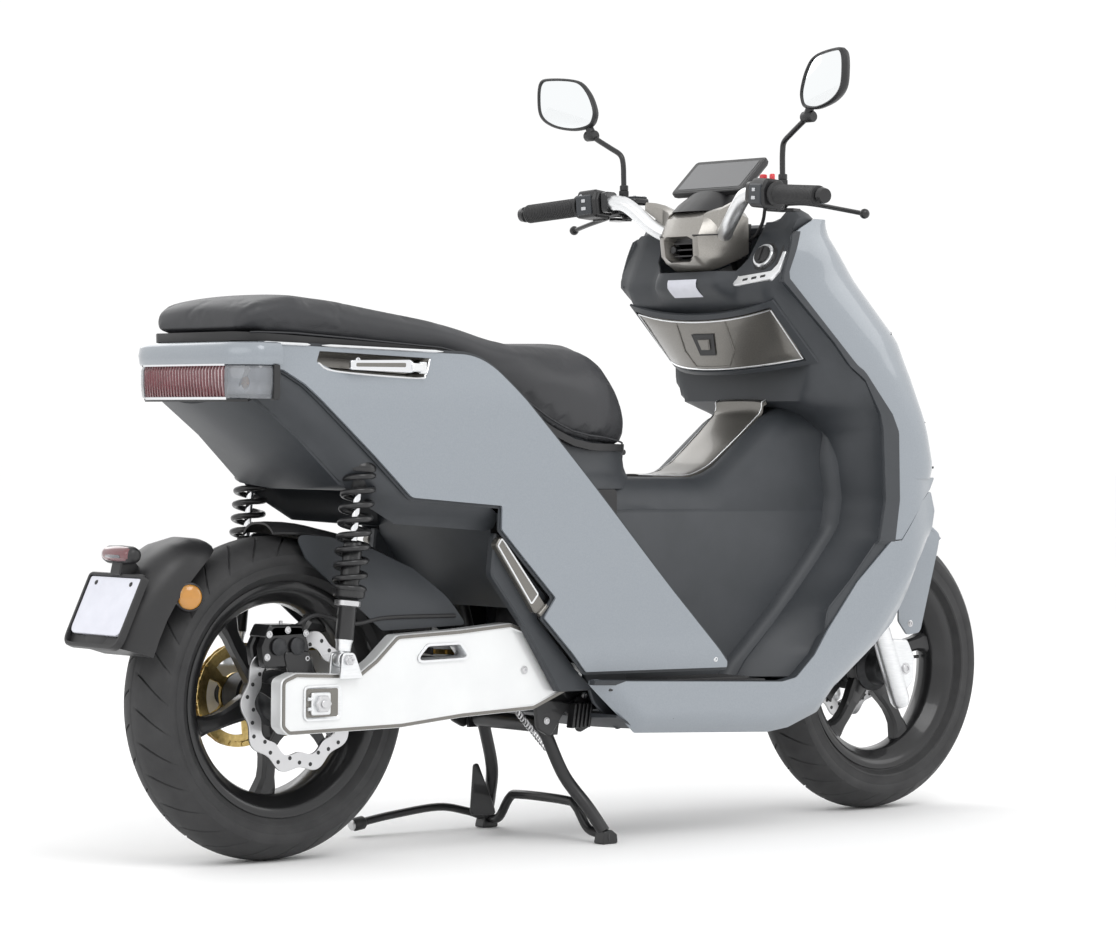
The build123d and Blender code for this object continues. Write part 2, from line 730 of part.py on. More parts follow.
def headset_cover():
    """A hollow cover round the clamp, narrower at its foot, open at the front."""
    upper = slab([(896, 1040), (896, 1055), (905, 1078), (965, 1114), (1006, 1100), (1008, 1040)], -68, 68)
    lower = slab([(898, 1004), (896, 1040), (1008, 1040), (1008, 1010), (985, 990), (917, 981)], -42, 42)
    upper_room = slab([(901, 1036), (901, 1053), (909, 1073), (965, 1108), (1020, 1096), (1020, 1036)], -63, 63)
    lower_room = slab([(903, 1006), (901, 1045), (1020, 1045), (1020, 1014), (984, 995), (918, 987)], -37, 37)
    return upper + lower - upper_room - lower_room - cross_rod(934, 1058, -80, 80, 19)


def display():
    """A tablet display on a short pedestal above the headset cover."""
    plane = Plane(origin=(994, 0, 1160), x_dir=(0, 1, 0), z_dir=(-0.69, 0, 0.724))
    screen = extrude(plane * RectangleRounded(184, 90, 8), amount=-15)
    pedestal = slab([(964, 1118), (1006, 1104), (1026, 1142), (990, 1146)], -52, 52)
    return screen + pedestal


def brake_master():
    """The left master cylinder: bar clamp, fluid box, two lever ears and the mirror boss."""
    clamp = block(884, 926, 184, 198, 1092, 1138)
    web = block(900, 960, 184, 198, 1084, 1112)
    box = block(926, 964, 150, 216, 1112, 1126)
    ears = block(930, 966, 184, 234, 1107, 1112) + block(930, 966, 184, 234, 1084, 1089)
    pin = rod((LEVER_PIVOT[0], LEVER_PIVOT[1], 1086), (LEVER_PIVOT[0], LEVER_PIVOT[1], 1110), 3)
    boss = rod((MIRROR_BASE[0], MIRROR_BASE[1], 1110), MIRROR_BASE, 9)
    return clamp + web + box + ears + pin + boss - rod(bar_point(160), bar_point(260), BAR_R)


def brake_lever():
    """The left lever: a bored hub, a flat blade and a ball at its end."""
    x, y, z = LEVER_PIVOT
    hub = rod((x, y, z - 7), (x, y, z + 7), 9)
    blade = rod((x, y + 4, z), LEVER_BALL, 5.5)
    ball = Pos(*LEVER_BALL) * Sphere(9)
    return hub + blade + ball - rod((x, y, z - 30), (x, y, z + 30), 3 + RUNNING_FIT)


def pod():
    """The left switch pod, clamped round the handlebar."""
    body = block(874, 922, 204, 250, 1088, 1142)
    return fillet(body.edges(), 6) - rod(bar_point(190), bar_point(262), BAR_R)


def switch_pods():
    """Both pods, with a pocket behind each button."""
    left, right = pod(), mirrored(pod())
    for centre, direction, radius in (BUTTONS["button_horn"], BUTTONS["button_beam"]):
        left = left - button_shape(centre, direction, radius + 0.3, 12)
    for centre, direction, radius in (BUTTONS["button_stop"], BUTTONS["button_hazard"]):
        right = right - button_shape(centre, direction, radius + 0.3, 12)
    return [left, right]


BUTTONS = {
    "button_horn": ((874, 218, 1104), (-1, 0, 0), 6),
    "button_beam": ((874, 236, 1126), (-1, 0, 0), 5),
    "button_stop": ((896, -216, 1142), (0, 0, 1), 7),
    "button_hazard": ((896, -238, 1142), (0, 0, 1), 5),
}


def button_shape(centre, direction, radius, depth):
    """A round button that stands 4 mm out of a pod face and reaches depth into it."""
    out = Vector(*direction)
    start = Vector(*centre) - out * depth
    return rod(tuple(start), tuple(Vector(*centre) + out * 4), radius)


def grip(bore):
    return rod(bar_point(256), bar_point(383), GRIP_R) - rod(bar_point(240), bar_point(390), bore)


def mirror_pin(radius, half_length):
    """A round knuckle across the top end of the left mirror stem."""
    x, y, z = MIRROR_BALL
    return cross_rod(x, z, y - half_length, y + half_length, radius)


def mirror_stem():
    """The left mirror stem, from its nut on the master cylinder to its knuckle."""
    x, y, z = MIRROR_BASE
    nut = rod((x, y, z), (x, y, z + 18), 9)
    stem = tube([(x, y, z + 10), MIRROR_BEND, MIRROR_BALL], 5, 18)
    return nut + stem + mirror_pin(9, 9)


def mirror_head():
    """The left mirror housing with the socket that turns on the knuckle."""
    yaw = radians(MIRROR_YAW)
    plane = Plane(
        origin=MIRROR_CENTRE, x_dir=(-sin(yaw), cos(yaw), 0), z_dir=(-cos(yaw), -sin(yaw), 0)
    )
    housing = extrude(plane * RectangleRounded(136, 100, 32), amount=-20) + rod(MIRROR_BALL, (934, 304, 1280), 8)
    stem_room = rod(MIRROR_BALL, MIRROR_BEND, 11)
    return housing + mirror_pin(13, 12) - mirror_pin(9.3, 9.5) - stem_room


def fork_lowers():
    """Both sliders with bored tubes, leading axle lugs, the front axle and the caliper mount."""
    shape = None
    for side in (-1, 1):
        y = side * LEG_Y
        low = Vector(*steer_point(SLIDER_LOW_Z, y))
        axis = (Vector(*steer_point(SLIDER_LOW_Z + 100, y)) - low).normalized()
        slider = rod(tuple(low), tuple(low + axis * SLIDER_LENGTH), SLIDER_R)
        bore = rod(tuple(low + axis * 14), tuple(low + axis * 400), STANCHION_R + RUNNING_FIT)
        lug = slab([(1378, 205), (1416, 244), (1416, 286), (1398, 318), (1350, 322), (1372, 240)], y - 10, y + 10)
        leg = slider + lug - bore
        shape = leg if shape is None else shape + leg
    return shape + cross_rod(WHEELBASE, FRONT_RADIUS, -LEG_Y, LEG_Y, AXLE_R)


def front_caliper():
    """The front caliper, behind the left leg, straddling the disc."""
    body = block(1268, 1330, 40, 84, 262, 330)
    groove = Pos(WHEELBASE, 0, FRONT_RADIUS) * cross_rod(0, 0, 54, 66, FRONT_DISC_R + 3)
    bracket = block(1296, 1345, 76, 84, 262, 300)
    leg_room = rod(steer_point(150, LEG_Y), steer_point(500, LEG_Y), SLIDER_R)
    return body - groove + bracket - leg_room


def front_fender():
    """A short mudguard over the front of the tyre, with a cheek at each side."""
    cover = []
    for angle in range(62, 107, 4):
        a = radians(angle)
        cover.append((WHEELBASE + (FRONT_RADIUS + 20) * cos(a), FRONT_RADIUS + (FRONT_RADIUS + 20) * sin(a)))
    guard = sheet(cover, 4, -72, 72)
    for side in (-1, 1):
        cheek = slab(
            [(1391, 350), (1414, 326), (1449, 329), (1489, 465), (1502, 515), (1440, 546), (1400, 540)],
            side * 72,
            side * 76,
        )
        tab = block(1346, 1410, side * 72, side * 78, 352, 372)
        guard = guard + cheek + tab
    leg_room = rod(steer_point(150, LEG_Y), steer_point(600, LEG_Y), SLIDER_R)
    return guard - leg_room - mirrored(leg_room)


# ---- everything ---------------------------------------------------------------------------
def write_rear():
    rear_wheel()
    swingarm()
    shocks()
    write("rear_hugger", rear_hugger())
    write("number_plate", number_plate())
    write("motor_case", motor())
    drive = sprocket(MOTOR_TEETH, CHAIN_Y, 9 + RUNNING_FIT)
    write("motor_sprocket", Pos(PIVOT[0], 0, PIVOT[1]) * drive)


def write_chassis():
    write("main_frame", main_frame())
    write("battery_pack", battery_pack())
    write("side_panels", pair(side_panel()) + [tail_cowl()])
    write("under_tail", under_tail())
    write("floor_tunnel", floor_tunnel())
    knob, ring_part = start_knob()
    write("leg_shield", [leg_shield(), ring_part, glovebox_bin()])
    write("front_panel", front_panel())
    write("lower_fairings", pair(lower_fairing()) + [belly()])
    write("storage_bin", storage_bin())
    write("headlight", headlight())
    lamp, ends = tail_light()
    write("tail_light", [lamp] + ends)
    write("start_knob", knob)
    write("glovebox_door", glovebox_door())
    write("glovebox_latch", glovebox_latch())
    write("seat", seat())
    write("stand", stand())
    write_sides("footpeg", footpeg())
    write_sides("grab_handle", grab_handle())


def write_steering():
    bar = handlebar()
    write("handlebar", [bar, grip(BAR_R)])
    write("steering_stem", steering_stem(bar))
    write("headset_cover", headset_cover())
    write("display", display())
    write("brake_masters", pair(brake_master()))
    write("switch_pods", switch_pods())
    write("grip_throttle", mirrored(grip(BAR_R + RUNNING_FIT)))
    write_sides("brake_lever", brake_lever())
    write_sides("mirror_stem", mirror_stem())
    write_sides("mirror_head", mirror_head())
    for name, (centre, direction, radius) in BUTTONS.items():
        write(name, button_shape(centre, direction, radius, 6))


def write_front():
    front_wheel()
    write("fork_lowers", fork_lowers())
    write("front_caliper", front_caliper())
    write("front_fender", front_fender())


os.makedirs("parts", exist_ok=True)
write_rear()
write_chassis()
write_steering()
write_front()
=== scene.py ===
"""A moped scooter on its centre stand, dressed in its painted, moulded, rubber and metal finish."""

import math
from math import cos, pi, radians, sin

import bmesh
import bpy
from mathutils import Matrix, Vector


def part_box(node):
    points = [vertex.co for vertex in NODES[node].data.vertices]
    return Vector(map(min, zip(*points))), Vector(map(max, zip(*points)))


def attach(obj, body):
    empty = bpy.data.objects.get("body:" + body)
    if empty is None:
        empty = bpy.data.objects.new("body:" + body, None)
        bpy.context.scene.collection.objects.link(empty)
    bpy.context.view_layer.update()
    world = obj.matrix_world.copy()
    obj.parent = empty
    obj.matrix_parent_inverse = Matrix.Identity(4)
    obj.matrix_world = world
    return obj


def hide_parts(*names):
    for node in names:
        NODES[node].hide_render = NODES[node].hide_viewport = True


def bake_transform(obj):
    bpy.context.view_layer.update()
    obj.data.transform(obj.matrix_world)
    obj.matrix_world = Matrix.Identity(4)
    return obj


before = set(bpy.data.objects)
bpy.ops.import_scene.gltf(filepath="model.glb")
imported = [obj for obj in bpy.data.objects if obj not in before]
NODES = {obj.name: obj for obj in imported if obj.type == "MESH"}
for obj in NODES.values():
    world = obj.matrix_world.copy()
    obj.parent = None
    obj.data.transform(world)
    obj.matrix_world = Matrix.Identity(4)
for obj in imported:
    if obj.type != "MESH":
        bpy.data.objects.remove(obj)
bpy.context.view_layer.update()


def centre(node):
    """The middle of a node's box, in metres."""
    low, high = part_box(node)
    return (Vector(low) + Vector(high)) / 2


# Sizes are written in millimetres from the ground under the rear axle, as in the CAD model.
REAR = centre("rear_rim")
AXLE_X = REAR.x
FRONT_X = (centre("front_rim").x - AXLE_X) * 1000
REAR_Z = REAR.z * 1000
FRONT_Z = centre("front_rim").z * 1000
REAR_R = (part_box("rear_tyre")[1][2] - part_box("rear_tyre")[0][2]) * 500
FRONT_R = (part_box("front_tyre")[1][2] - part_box("front_tyre")[0][2]) * 500
RAKE = radians(23)
STEER_X = 1361.0  # where the steering axis passes the height of the front axle
MIDDLE_X = 650  # the middle of the body along its length; panels face away from it
MERGE = 0.02  # points closer than this are one point
SIDES = ((1, "left"), (-1, "right"))


def at(x, y, z):
    """A point of the shared frame, in metres, from millimetres forward of the rear axle, left and up."""
    return Vector((AXLE_X + x / 1000, y / 1000, z / 1000))


def smooth(value, low, high):
    """A smooth step from 0 at low to 1 at high."""
    t = min(1.0, max(0.0, (value - low) / (high - low)))
    return t * t * (3 - 2 * t)


def table_value(value, pairs):
    """A straight-line table, held level past both ends."""
    if value <= pairs[0][0]:
        return pairs[0][1]
    for (a, fa), (b, fb) in zip(pairs, pairs[1:]):
        if value <= b:
            return fa + (fb - fa) * (value - a) / (b - a)
    return pairs[-1][1]


# ---- materials ----------------------------------------------------------------------------
EVEN = (1, 1, 1)


def shader(name, color, rough, metal=0.0, coat=0.0):
    """A Principled material and its node tree."""
    mat = bpy.data.materials.new(name)
    mat.use_nodes = True
    bsdf = mat.node_tree.nodes["Principled BSDF"]
    bsdf.inputs["Base Color"].default_value = (*color, 1)
    bsdf.inputs["Roughness"].default_value = rough
    bsdf.inputs["Metallic"].default_value = metal
    bsdf.inputs["Coat Weight"].default_value = coat
    bsdf.inputs["Coat Roughness"].default_value = 0.06
    return mat


def noise_node(mat, scale, detail=3.0, stretch=EVEN):
    """Noise in object space."""
    tree = mat.node_tree
    coords = tree.nodes.new("ShaderNodeTexCoord")
    mapping = tree.nodes.new("ShaderNodeMapping")
    mapping.inputs["Scale"].default_value = stretch
    noise = tree.nodes.new("ShaderNodeTexNoise")
    noise.inputs["Scale"].default_value = scale
    noise.inputs["Detail"].default_value = detail
    tree.links.new(coords.outputs["Object"], mapping.inputs["Vector"])
    tree.links.new(mapping.outputs["Vector"], noise.inputs["Vector"])
    return noise


def vary_color(mat, scale, dark, light, stretch=EVEN):
    """Soft colour variation between two shades."""
    tree = mat.node_tree
    noise = noise_node(mat, scale, 4.0, stretch)
    ramp = tree.nodes.new("ShaderNodeValToRGB")
    ramp.color_ramp.elements[0].position = 0.3
    ramp.color_ramp.elements[1].position = 0.7
    ramp.color_ramp.elements[0].color = (*dark, 1)
    ramp.color_ramp.elements[1].color = (*light, 1)
    tree.links.new(noise.outputs["Fac"], ramp.inputs["Fac"])
    tree.links.new(ramp.outputs["Color"], tree.nodes["Principled BSDF"].inputs["Base Color"])


def vary_rough(mat, scale, low, high, stretch=EVEN):
    """Patches of slightly duller and slightly shinier surface."""
    tree = mat.node_tree
    noise = noise_node(mat, scale, 3.0, stretch)
    span = tree.nodes.new("ShaderNodeMapRange")
    span.inputs["To Min"].default_value = low
    span.inputs["To Max"].default_value = high
    tree.links.new(noise.outputs["Fac"], span.inputs["Value"])
    tree.links.new(span.outputs["Result"], tree.nodes["Principled BSDF"].inputs["Roughness"])


def bump(mat, scale, strength, distance=0.0004, stretch=EVEN, cells=False):
    """Fine relief: noise, or cells for leather and cast grain."""
    tree = mat.node_tree
    if cells:
        coords = tree.nodes.new("ShaderNodeTexCoord")
        source = tree.nodes.new("ShaderNodeTexVoronoi")
        source.inputs["Scale"].default_value = scale
        tree.links.new(coords.outputs["Object"], source.inputs["Vector"])
        height = source.outputs["Distance"]
    else:
        source = noise_node(mat, scale, 5.0, stretch)
        height = source.outputs["Fac"]
    node = tree.nodes.new("ShaderNodeBump")
    node.inputs["Strength"].default_value = strength
    node.inputs["Distance"].default_value = distance
    tree.links.new(height, node.inputs["Height"])
    tree.links.new(node.outputs["Normal"], tree.nodes["Principled BSDF"].inputs["Normal"])


def finish(name, color, rough, metal=0.0, coat=0.0, shades=None, gloss=None, relief=None):
    """A material with soft shades, patches of gloss and fine relief where they are given."""
    mat = shader(name, color, rough, metal, coat)
    if shades:
        vary_color(mat, *shades)
    if gloss:
        vary_rough(mat, *gloss)
    if relief:
        bump(mat, *relief)
    return mat


def lens(name, color, rough=0.08, clear=0.35):
    """A tinted lens that lets some light through."""
    shades = (25, tuple(c * 0.85 for c in color), tuple(min(1, c * 1.12) for c in color))
    mat = finish(name, color, rough, 0.0, 0.8, shades)
    mat.node_tree.nodes["Principled BSDF"].inputs["Transmission Weight"].default_value = clear
    return mat


MAT = {
    "paint": finish("paint_blue_grey", (0.25, 0.275, 0.305), 0.36, 0.15, 0.8,
                    (420, (0.238, 0.264, 0.292), (0.262, 0.288, 0.318)), (9, 0.30, 0.38)),
    "satin_plastic": finish("satin_charcoal_plastic", (0.055, 0.06, 0.065), 0.5,
                            shades=(14, (0.029, 0.033, 0.038), (0.038, 0.042, 0.048)),
                            relief=(1900, 0.25, 0.00015)),
    "black_plastic": finish("black_moulded_plastic", (0.016, 0.016, 0.017), 0.42,
                            gloss=(30, 0.36, 0.5), relief=(1500, 0.2, 0.00015)),
    "trim": finish("taupe_metallic_trim", (0.30, 0.285, 0.26), 0.32, 0.75, 0.35,
                   (600, (0.17, 0.162, 0.148), (0.215, 0.205, 0.188)), (16, 0.28, 0.38)),
    # The taupe trim painted lighter for the headset cover: a painted highlight where its top faces the
    # light.
    "bright_trim": finish("taupe_trim_painted_highlight", (0.30, 0.285, 0.26), 0.3, 0.7, 0.4,
                          (600, (0.30, 0.285, 0.262), (0.36, 0.345, 0.32)), (16, 0.26, 0.34)),
    "silver": finish("bright_satin_aluminium", (0.80, 0.81, 0.82), 0.3, 0.9, 0.0,
                     (60, (0.76, 0.77, 0.78), (0.84, 0.85, 0.86), (1, 1, 6)), (40, 0.26, 0.36)),
    "pearl": finish("pearl_white_casting", (0.83, 0.84, 0.84), 0.3, 0.25, 0.6,
                    (12, (0.74, 0.75, 0.755), (0.79, 0.80, 0.80)), relief=(900, 0.06, 0.0002)),
    "steel": finish("machined_steel", (0.62, 0.62, 0.63), 0.32, 1.0,
                    gloss=(120, 0.24, 0.42, (1, 8, 1)), relief=(500, 0.15, 0.0002, (1, 12, 1))),
    "chrome": finish("polished_chrome", (0.82, 0.83, 0.85), 0.07, 1.0, gloss=(30, 0.05, 0.12)),
    "black_metal": finish("satin_black_coated_metal", (0.014, 0.014, 0.015), 0.36, 0.2, 0.3,
                          gloss=(45, 0.3, 0.46), relief=(1100, 0.18, 0.0002)),
    "cast": finish("dark_casting", (0.035, 0.036, 0.038), 0.5, 0.5, 0.0,
                   (90, (0.028, 0.029, 0.031), (0.048, 0.049, 0.052)), relief=(700, 0.5, 0.0003)),
    "black_alloy": finish("gloss_black_alloy", (0.017, 0.017, 0.018), 0.3, 0.4, 0.4,
                          gloss=(60, 0.25, 0.38), relief=(800, 0.12, 0.0002)),
    "gold": finish("gold_plated_steel", (0.62, 0.46, 0.18), 0.3, 1.0, 0.0,
                   (150, (0.50, 0.36, 0.13), (0.70, 0.53, 0.22))),
    "tyre": finish("tyre_rubber", (0.024, 0.024, 0.025), 0.62,
                   shades=(30, (0.019, 0.019, 0.020), (0.030, 0.030, 0.031)), relief=(800, 0.35, 0.0003)),
    "rubber": finish("grip_rubber", (0.02, 0.02, 0.021), 0.5,
                     gloss=(60, 0.42, 0.6), relief=(1600, 0.4, 0.0003, EVEN, True)),
    "vinyl": finish("charcoal_seat_vinyl", (0.032, 0.033, 0.035), 0.46,
                    shades=(6, (0.025, 0.026, 0.029), (0.033, 0.034, 0.038)),
                    relief=(620, 0.35, 0.0004, EVEN, True)),
    "red_lens": lens("red_lens", (0.23, 0.075, 0.085)),
    "clear_lens": lens("clear_lens", (0.31, 0.33, 0.36), 0.06, 0.6),
    "amber_lens": lens("amber_lens", (0.72, 0.33, 0.05)),
    "screen": finish("display_glass", (0.05, 0.052, 0.056), 0.34, 0.0, 0.3, gloss=(8, 0.34, 0.42)),
    "mirror": finish("mirror_glass", (0.9, 0.92, 0.93), 0.02, 1.0, gloss=(20, 0.015, 0.035)),
    "plate_white": finish("blank_plate", (0.66, 0.67, 0.74), 0.35, 0.0, 0.4,
                          (40, (0.64, 0.65, 0.72), (0.69, 0.70, 0.77))),
    "red_plastic": finish("red_button", (0.62, 0.02, 0.03), 0.3, 0.0, 0.5, gloss=(80, 0.24, 0.36)),
    "grey_plastic": finish("grey_button", (0.55, 0.56, 0.58), 0.35, 0.2, 0.3, gloss=(80, 0.28, 0.42)),
}

# A look rides in the record slot of its own name, apart from these.
SLOT = {name: name for name in MAT}
SLOT.update(
    black_plastic="satin_plastic", trim="trim_metallic", bright_trim="trim_metallic", pearl="silver",
    cast="black_alloy", gold="gold_chain", clear_lens="glass", amber_lens="red_lens", grey_plastic="silver",
)


# ---- mesh building ------------------------------------------------------------------------
def rounded(points, radius, steps=4):
    """An outline with its corners rounded; radius may be one number or one per corner."""
    out = []
    count = len(points)
    for i, point in enumerate(points):
        r = radius[i] if isinstance(radius, (list, tuple)) else radius
        here = Vector(point)
        back = Vector(points[i - 1]) - here
        ahead = Vector(points[(i + 1) % count]) - here
        angle = back.angle(ahead, pi)
        if r <= 0 or angle > radians(176):
            out.append(tuple(here))
            continue
        cut = min(r / math.tan(angle / 2), back.length * 0.48, ahead.length * 0.48)
        start = here + back.normalized() * cut
        end = here + ahead.normalized() * cut
        for k in range(steps + 1):
            t = k / steps
            out.append(tuple(start * (1 - t) ** 2 + here * (2 * t * (1 - t)) + end * t * t))
    return out


def spline(points, steps=8, closed=False):
    """A smooth curve through points, as a list of vectors."""
    pts = [Vector(p) for p in points]
    count = len(pts)
    spans = count if closed else count - 1
    out = []
    for i in range(spans):
        if closed:
            p0, p1, p2, p3 = (pts[(i + k - 1) % count] for k in range(4))
        else:
            p1, p2 = pts[i], pts[i + 1]
            p0 = pts[i - 1] if i else p1 * 2 - p2
            p3 = pts[i + 2] if i + 2 < count else p2 * 2 - p1
        for k in range(steps):
            t = k / steps
            out.append(
                0.5
                * (
                    2 * p1
                    + (p2 - p0) * t
                    + (2 * p0 - 5 * p1 + 4 * p2 - p3) * t * t
                    + (3 * p1 - p0 - 3 * p2 + p3) * t**3
                )
            )
    if not closed:
        out.append(pts[-1])
    return out


class Shape:
    """Collects faces in millimetres and turns them into one piece."""

    def __init__(self):
        self.verts = []
        self.faces = []

    def loft(self, rings, closed=True, cap=True):
        """Faces between rings of equal length."""
        base = len(self.verts)
        size = len(rings[0])
        for ring in rings:
            self.verts += [Vector(p) for p in ring]
        last = size if closed else size - 1
        for i in range(len(rings) - 1):
            for j in range(last):
                a = base + i * size + j
                b = base + i * size + (j + 1) % size
                self.faces.append((a, b, b + size, a + size))
        if cap and closed:
            self.faces.append(tuple(base + j for j in reversed(range(size))))
            self.faces.append(tuple(base + (len(rings) - 1) * size + j for j in range(size)))
        return self

    def prism(self, outline, y0, y1, inset=0.0):
        """A side-view outline between two heights across; inset chamfers both rims."""
        low, high = min(y0, y1), max(y0, y1)
        if inset:
            mid = shrink(outline, inset)
            rings = [
                [(x, low, z) for x, z in mid],
                [(x, low + inset, z) for x, z in outline],
                [(x, high - inset, z) for x, z in outline],
                [(x, high, z) for x, z in mid],
            ]
        else:
            rings = [[(x, y, z) for x, z in outline] for y in (low, high)]
        return self.loft(rings)

    def lathe(self, profile, x, z, segments=64, closed=True):
        """A profile of radius and y pairs turned about a cross axle at x, z."""
        rings = []
        for i in range(segments):
            a = 2 * pi * i / segments
            rings.append([(x + r * cos(a), y, z + r * sin(a)) for r, y in profile])
        rings.append(rings[0])
        return self.loft(rings, closed, False)

    def tube(self, path, radius, sides=12, cap=True):
        """A round tube along a path; radius may be a list."""
        pts = [Vector(p) for p in path]
        rings = []
        side = None
        for i, p in enumerate(pts):
            ahead = pts[min(i + 1, len(pts) - 1)] - pts[max(i - 1, 0)]
            ahead.normalize()
            if side is None:
                side = ahead.cross(Vector((0.13, 0.37, 0.92))).normalized()
            side = (side - ahead * side.dot(ahead)).normalized()
            up = ahead.cross(side)
            r = radius[i] if isinstance(radius, (list, tuple)) else radius
            ring = []
            for k in range(sides):
                a = 2 * pi * k / sides
                ring.append(p + side * (r * cos(a)) + up * (r * sin(a)))
            rings.append(ring)
        return self.loft(rings, True, cap)

    def rod(self, start, end, radius, sides=24, chamfer=0.0):
        """A straight round bar, with chamfered ends if asked."""
        a, b = Vector(start), Vector(end)
        if not chamfer:
            return self.tube([a, b], radius, sides)
        step = (b - a).normalized() * chamfer
        return self.tube([a, a + step, b - step, b], [radius - chamfer, radius, radius, radius - chamfer],
                         sides)

    def box(self, low, high, chamfer=0.0):
        """A box between two corners with chamfered edges."""
        (x0, y0, z0), (x1, y1, z1) = low, high
        outline = [(x0, z0), (x1, z0), (x1, z1), (x0, z1)]
        if chamfer:
            outline = rounded(outline, chamfer * 1.4, 2)
        return self.prism(outline, y0, y1, chamfer)

    def ball(self, centre_point, radius, rings=12, sides=20, squash=(1, 1, 1)):
        """A ball, or an egg where squash is not even."""
        c = Vector(centre_point)
        loops = []
        for i in range(rings + 1):
            polar = pi * i / rings
            loop = []
            for k in range(sides):
                a = 2 * pi * k / sides
                offset = Vector((sin(polar) * cos(a), sin(polar) * sin(a), cos(polar)))
                loop.append(c + Vector([offset[n] * radius * squash[n] for n in range(3)]))
            loops.append(loop)
        return self.loft(loops, True, False)

    def turned(self, matrix):
        """Carries everything in the shape through a matrix."""
        self.verts = [matrix @ v for v in self.verts]
        return self

    def mirrored(self):
        """Adds the mirror image across the middle plane."""
        base = len(self.verts)
        self.verts += [Vector((v.x, -v.y, v.z)) for v in self.verts]
        self.faces += [tuple(base + i for i in reversed(face)) for face in self.faces]
        return self

    def make(self, name, body, look, replaces=(), bevel=0.0, sharp=38, subdivide=0):
        """The finished piece, riding on its body."""
        mesh = bpy.data.meshes.new(name)
        mesh.from_pydata([at(*v) for v in self.verts], [], self.faces)
        work = bmesh.new()
        work.from_mesh(mesh)
        bmesh.ops.remove_doubles(work, verts=work.verts, dist=MERGE / 1000)
        bmesh.ops.dissolve_degenerate(work, edges=work.edges, dist=MERGE / 2000)
        bmesh.ops.recalc_face_normals(work, faces=work.faces)
        work.to_mesh(mesh)
        work.free()
        obj = bpy.data.objects.new(name, mesh)
        bpy.context.scene.collection.objects.link(obj)
        return dress(obj, body, look, replaces, bevel, sharp, subdivide)


def dress(obj, body, look, replaces=(), bevel=0.0, sharp=38, subdivide=0):
    """Gives a mesh its shading, material and body.

    The body is one name, or two names and two points; the piece is then only fixed in place and rides on
    neither body.
    """
    mesh = obj.data
    mesh.polygons.foreach_set("use_smooth", [True] * len(mesh.polygons))
    if subdivide:
        mod = obj.modifiers.new("subdivide", "SUBSURF")
        mod.levels = subdivide
        mod.render_levels = subdivide
    else:
        mesh.set_sharp_from_angle(angle=radians(sharp))
    if bevel:
        mod = obj.modifiers.new("edges", "BEVEL")
        mod.width = bevel / 1000
        mod.segments = 2
        mod.limit_method = "ANGLE"
        mod.angle_limit = radians(sharp)
        mod.harden_normals = True
    mesh.materials.clear()
    mesh.materials.append(MAT[look])
    if isinstance(body, tuple):
        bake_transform(obj)
    else:
        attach(obj, body)
    if replaces:
        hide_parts(*replaces)
    return obj


def shrink(outline, amount):
    """An outline moved inward by a small amount."""
    area = 0.0
    for (xa, za), (xb, zb) in zip(outline, outline[1:] + outline[:1]):
        area += xa * zb - xb * za
    turn = 1 if area > 0 else -1
    out = []
    for i, point in enumerate(outline):
        here = Vector(point)
        back = (here - Vector(outline[i - 1])).normalized()
        ahead = (Vector(outline[(i + 1) % len(outline)]) - here).normalized()
        normal = (Vector((-back.y, back.x)) + Vector((-ahead.y, ahead.x))) * turn
        if normal.length < 1e-6:
            out.append(tuple(here))
            continue
        normal.normalize()
        lean = max(0.5, normal.dot(Vector((-ahead.y, ahead.x)) * turn))
        out.append(tuple(here + normal * (amount / lean)))
    return out


def skin(name, outline, surface, body, look, thick=3.5, step=22.0, replaces=(), holes=(), both=True,
         sharp=50):
    """A curved panel: a side outline cut into a grid and laid on surface(u, v) -> x, y, z.

    The panel is thick millimetres deep, inward, with a plain rim, and is mirrored if both is set.
    """
    work = bmesh.new()
    verts = [work.verts.new((u, 0, v)) for u, v in outline]
    work.faces.new(verts)
    us = [u for u, v in outline]
    vs = [v for u, v in outline]
    for values, axis in ((us, Vector((1, 0, 0))), (vs, Vector((0, 0, 1)))):
        low, high = min(values), max(values)
        count = max(1, int((high - low) / step))
        for i in range(1, count):
            cut = low + (high - low) * i / count
            geom = work.verts[:] + work.edges[:] + work.faces[:]
            bmesh.ops.bisect_plane(work, geom=geom, dist=1e-4, plane_co=axis * cut, plane_no=axis)
    for hole in holes:
        cut_hole(work, hole)
    for v in work.verts:
        v.co = Vector(surface(v.co.x, v.co.z))
    bmesh.ops.remove_doubles(work, verts=work.verts, dist=0.05)
    bmesh.ops.recalc_face_normals(work, faces=work.faces)
    facing = sum((f.normal * f.calc_area() for f in work.faces), Vector())
    outward = Vector((0, 0, 0))
    for f in work.faces:
        c = f.calc_center_median()
        outward += Vector((c.x - MIDDLE_X, c.y, 0)) * f.calc_area()
    if facing.dot(outward) < 0:
        bmesh.ops.reverse_faces(work, faces=work.faces)
    thicken(work, thick)
    shape = Shape()
    shape.verts = [v.co.copy() for v in work.verts]
    work.verts.index_update()
    shape.faces = [tuple(v.index for v in f.verts) for f in work.faces]
    work.free()
    if both:
        shape.mirrored()
    return shape.make(name, body, look, replaces, sharp=sharp)


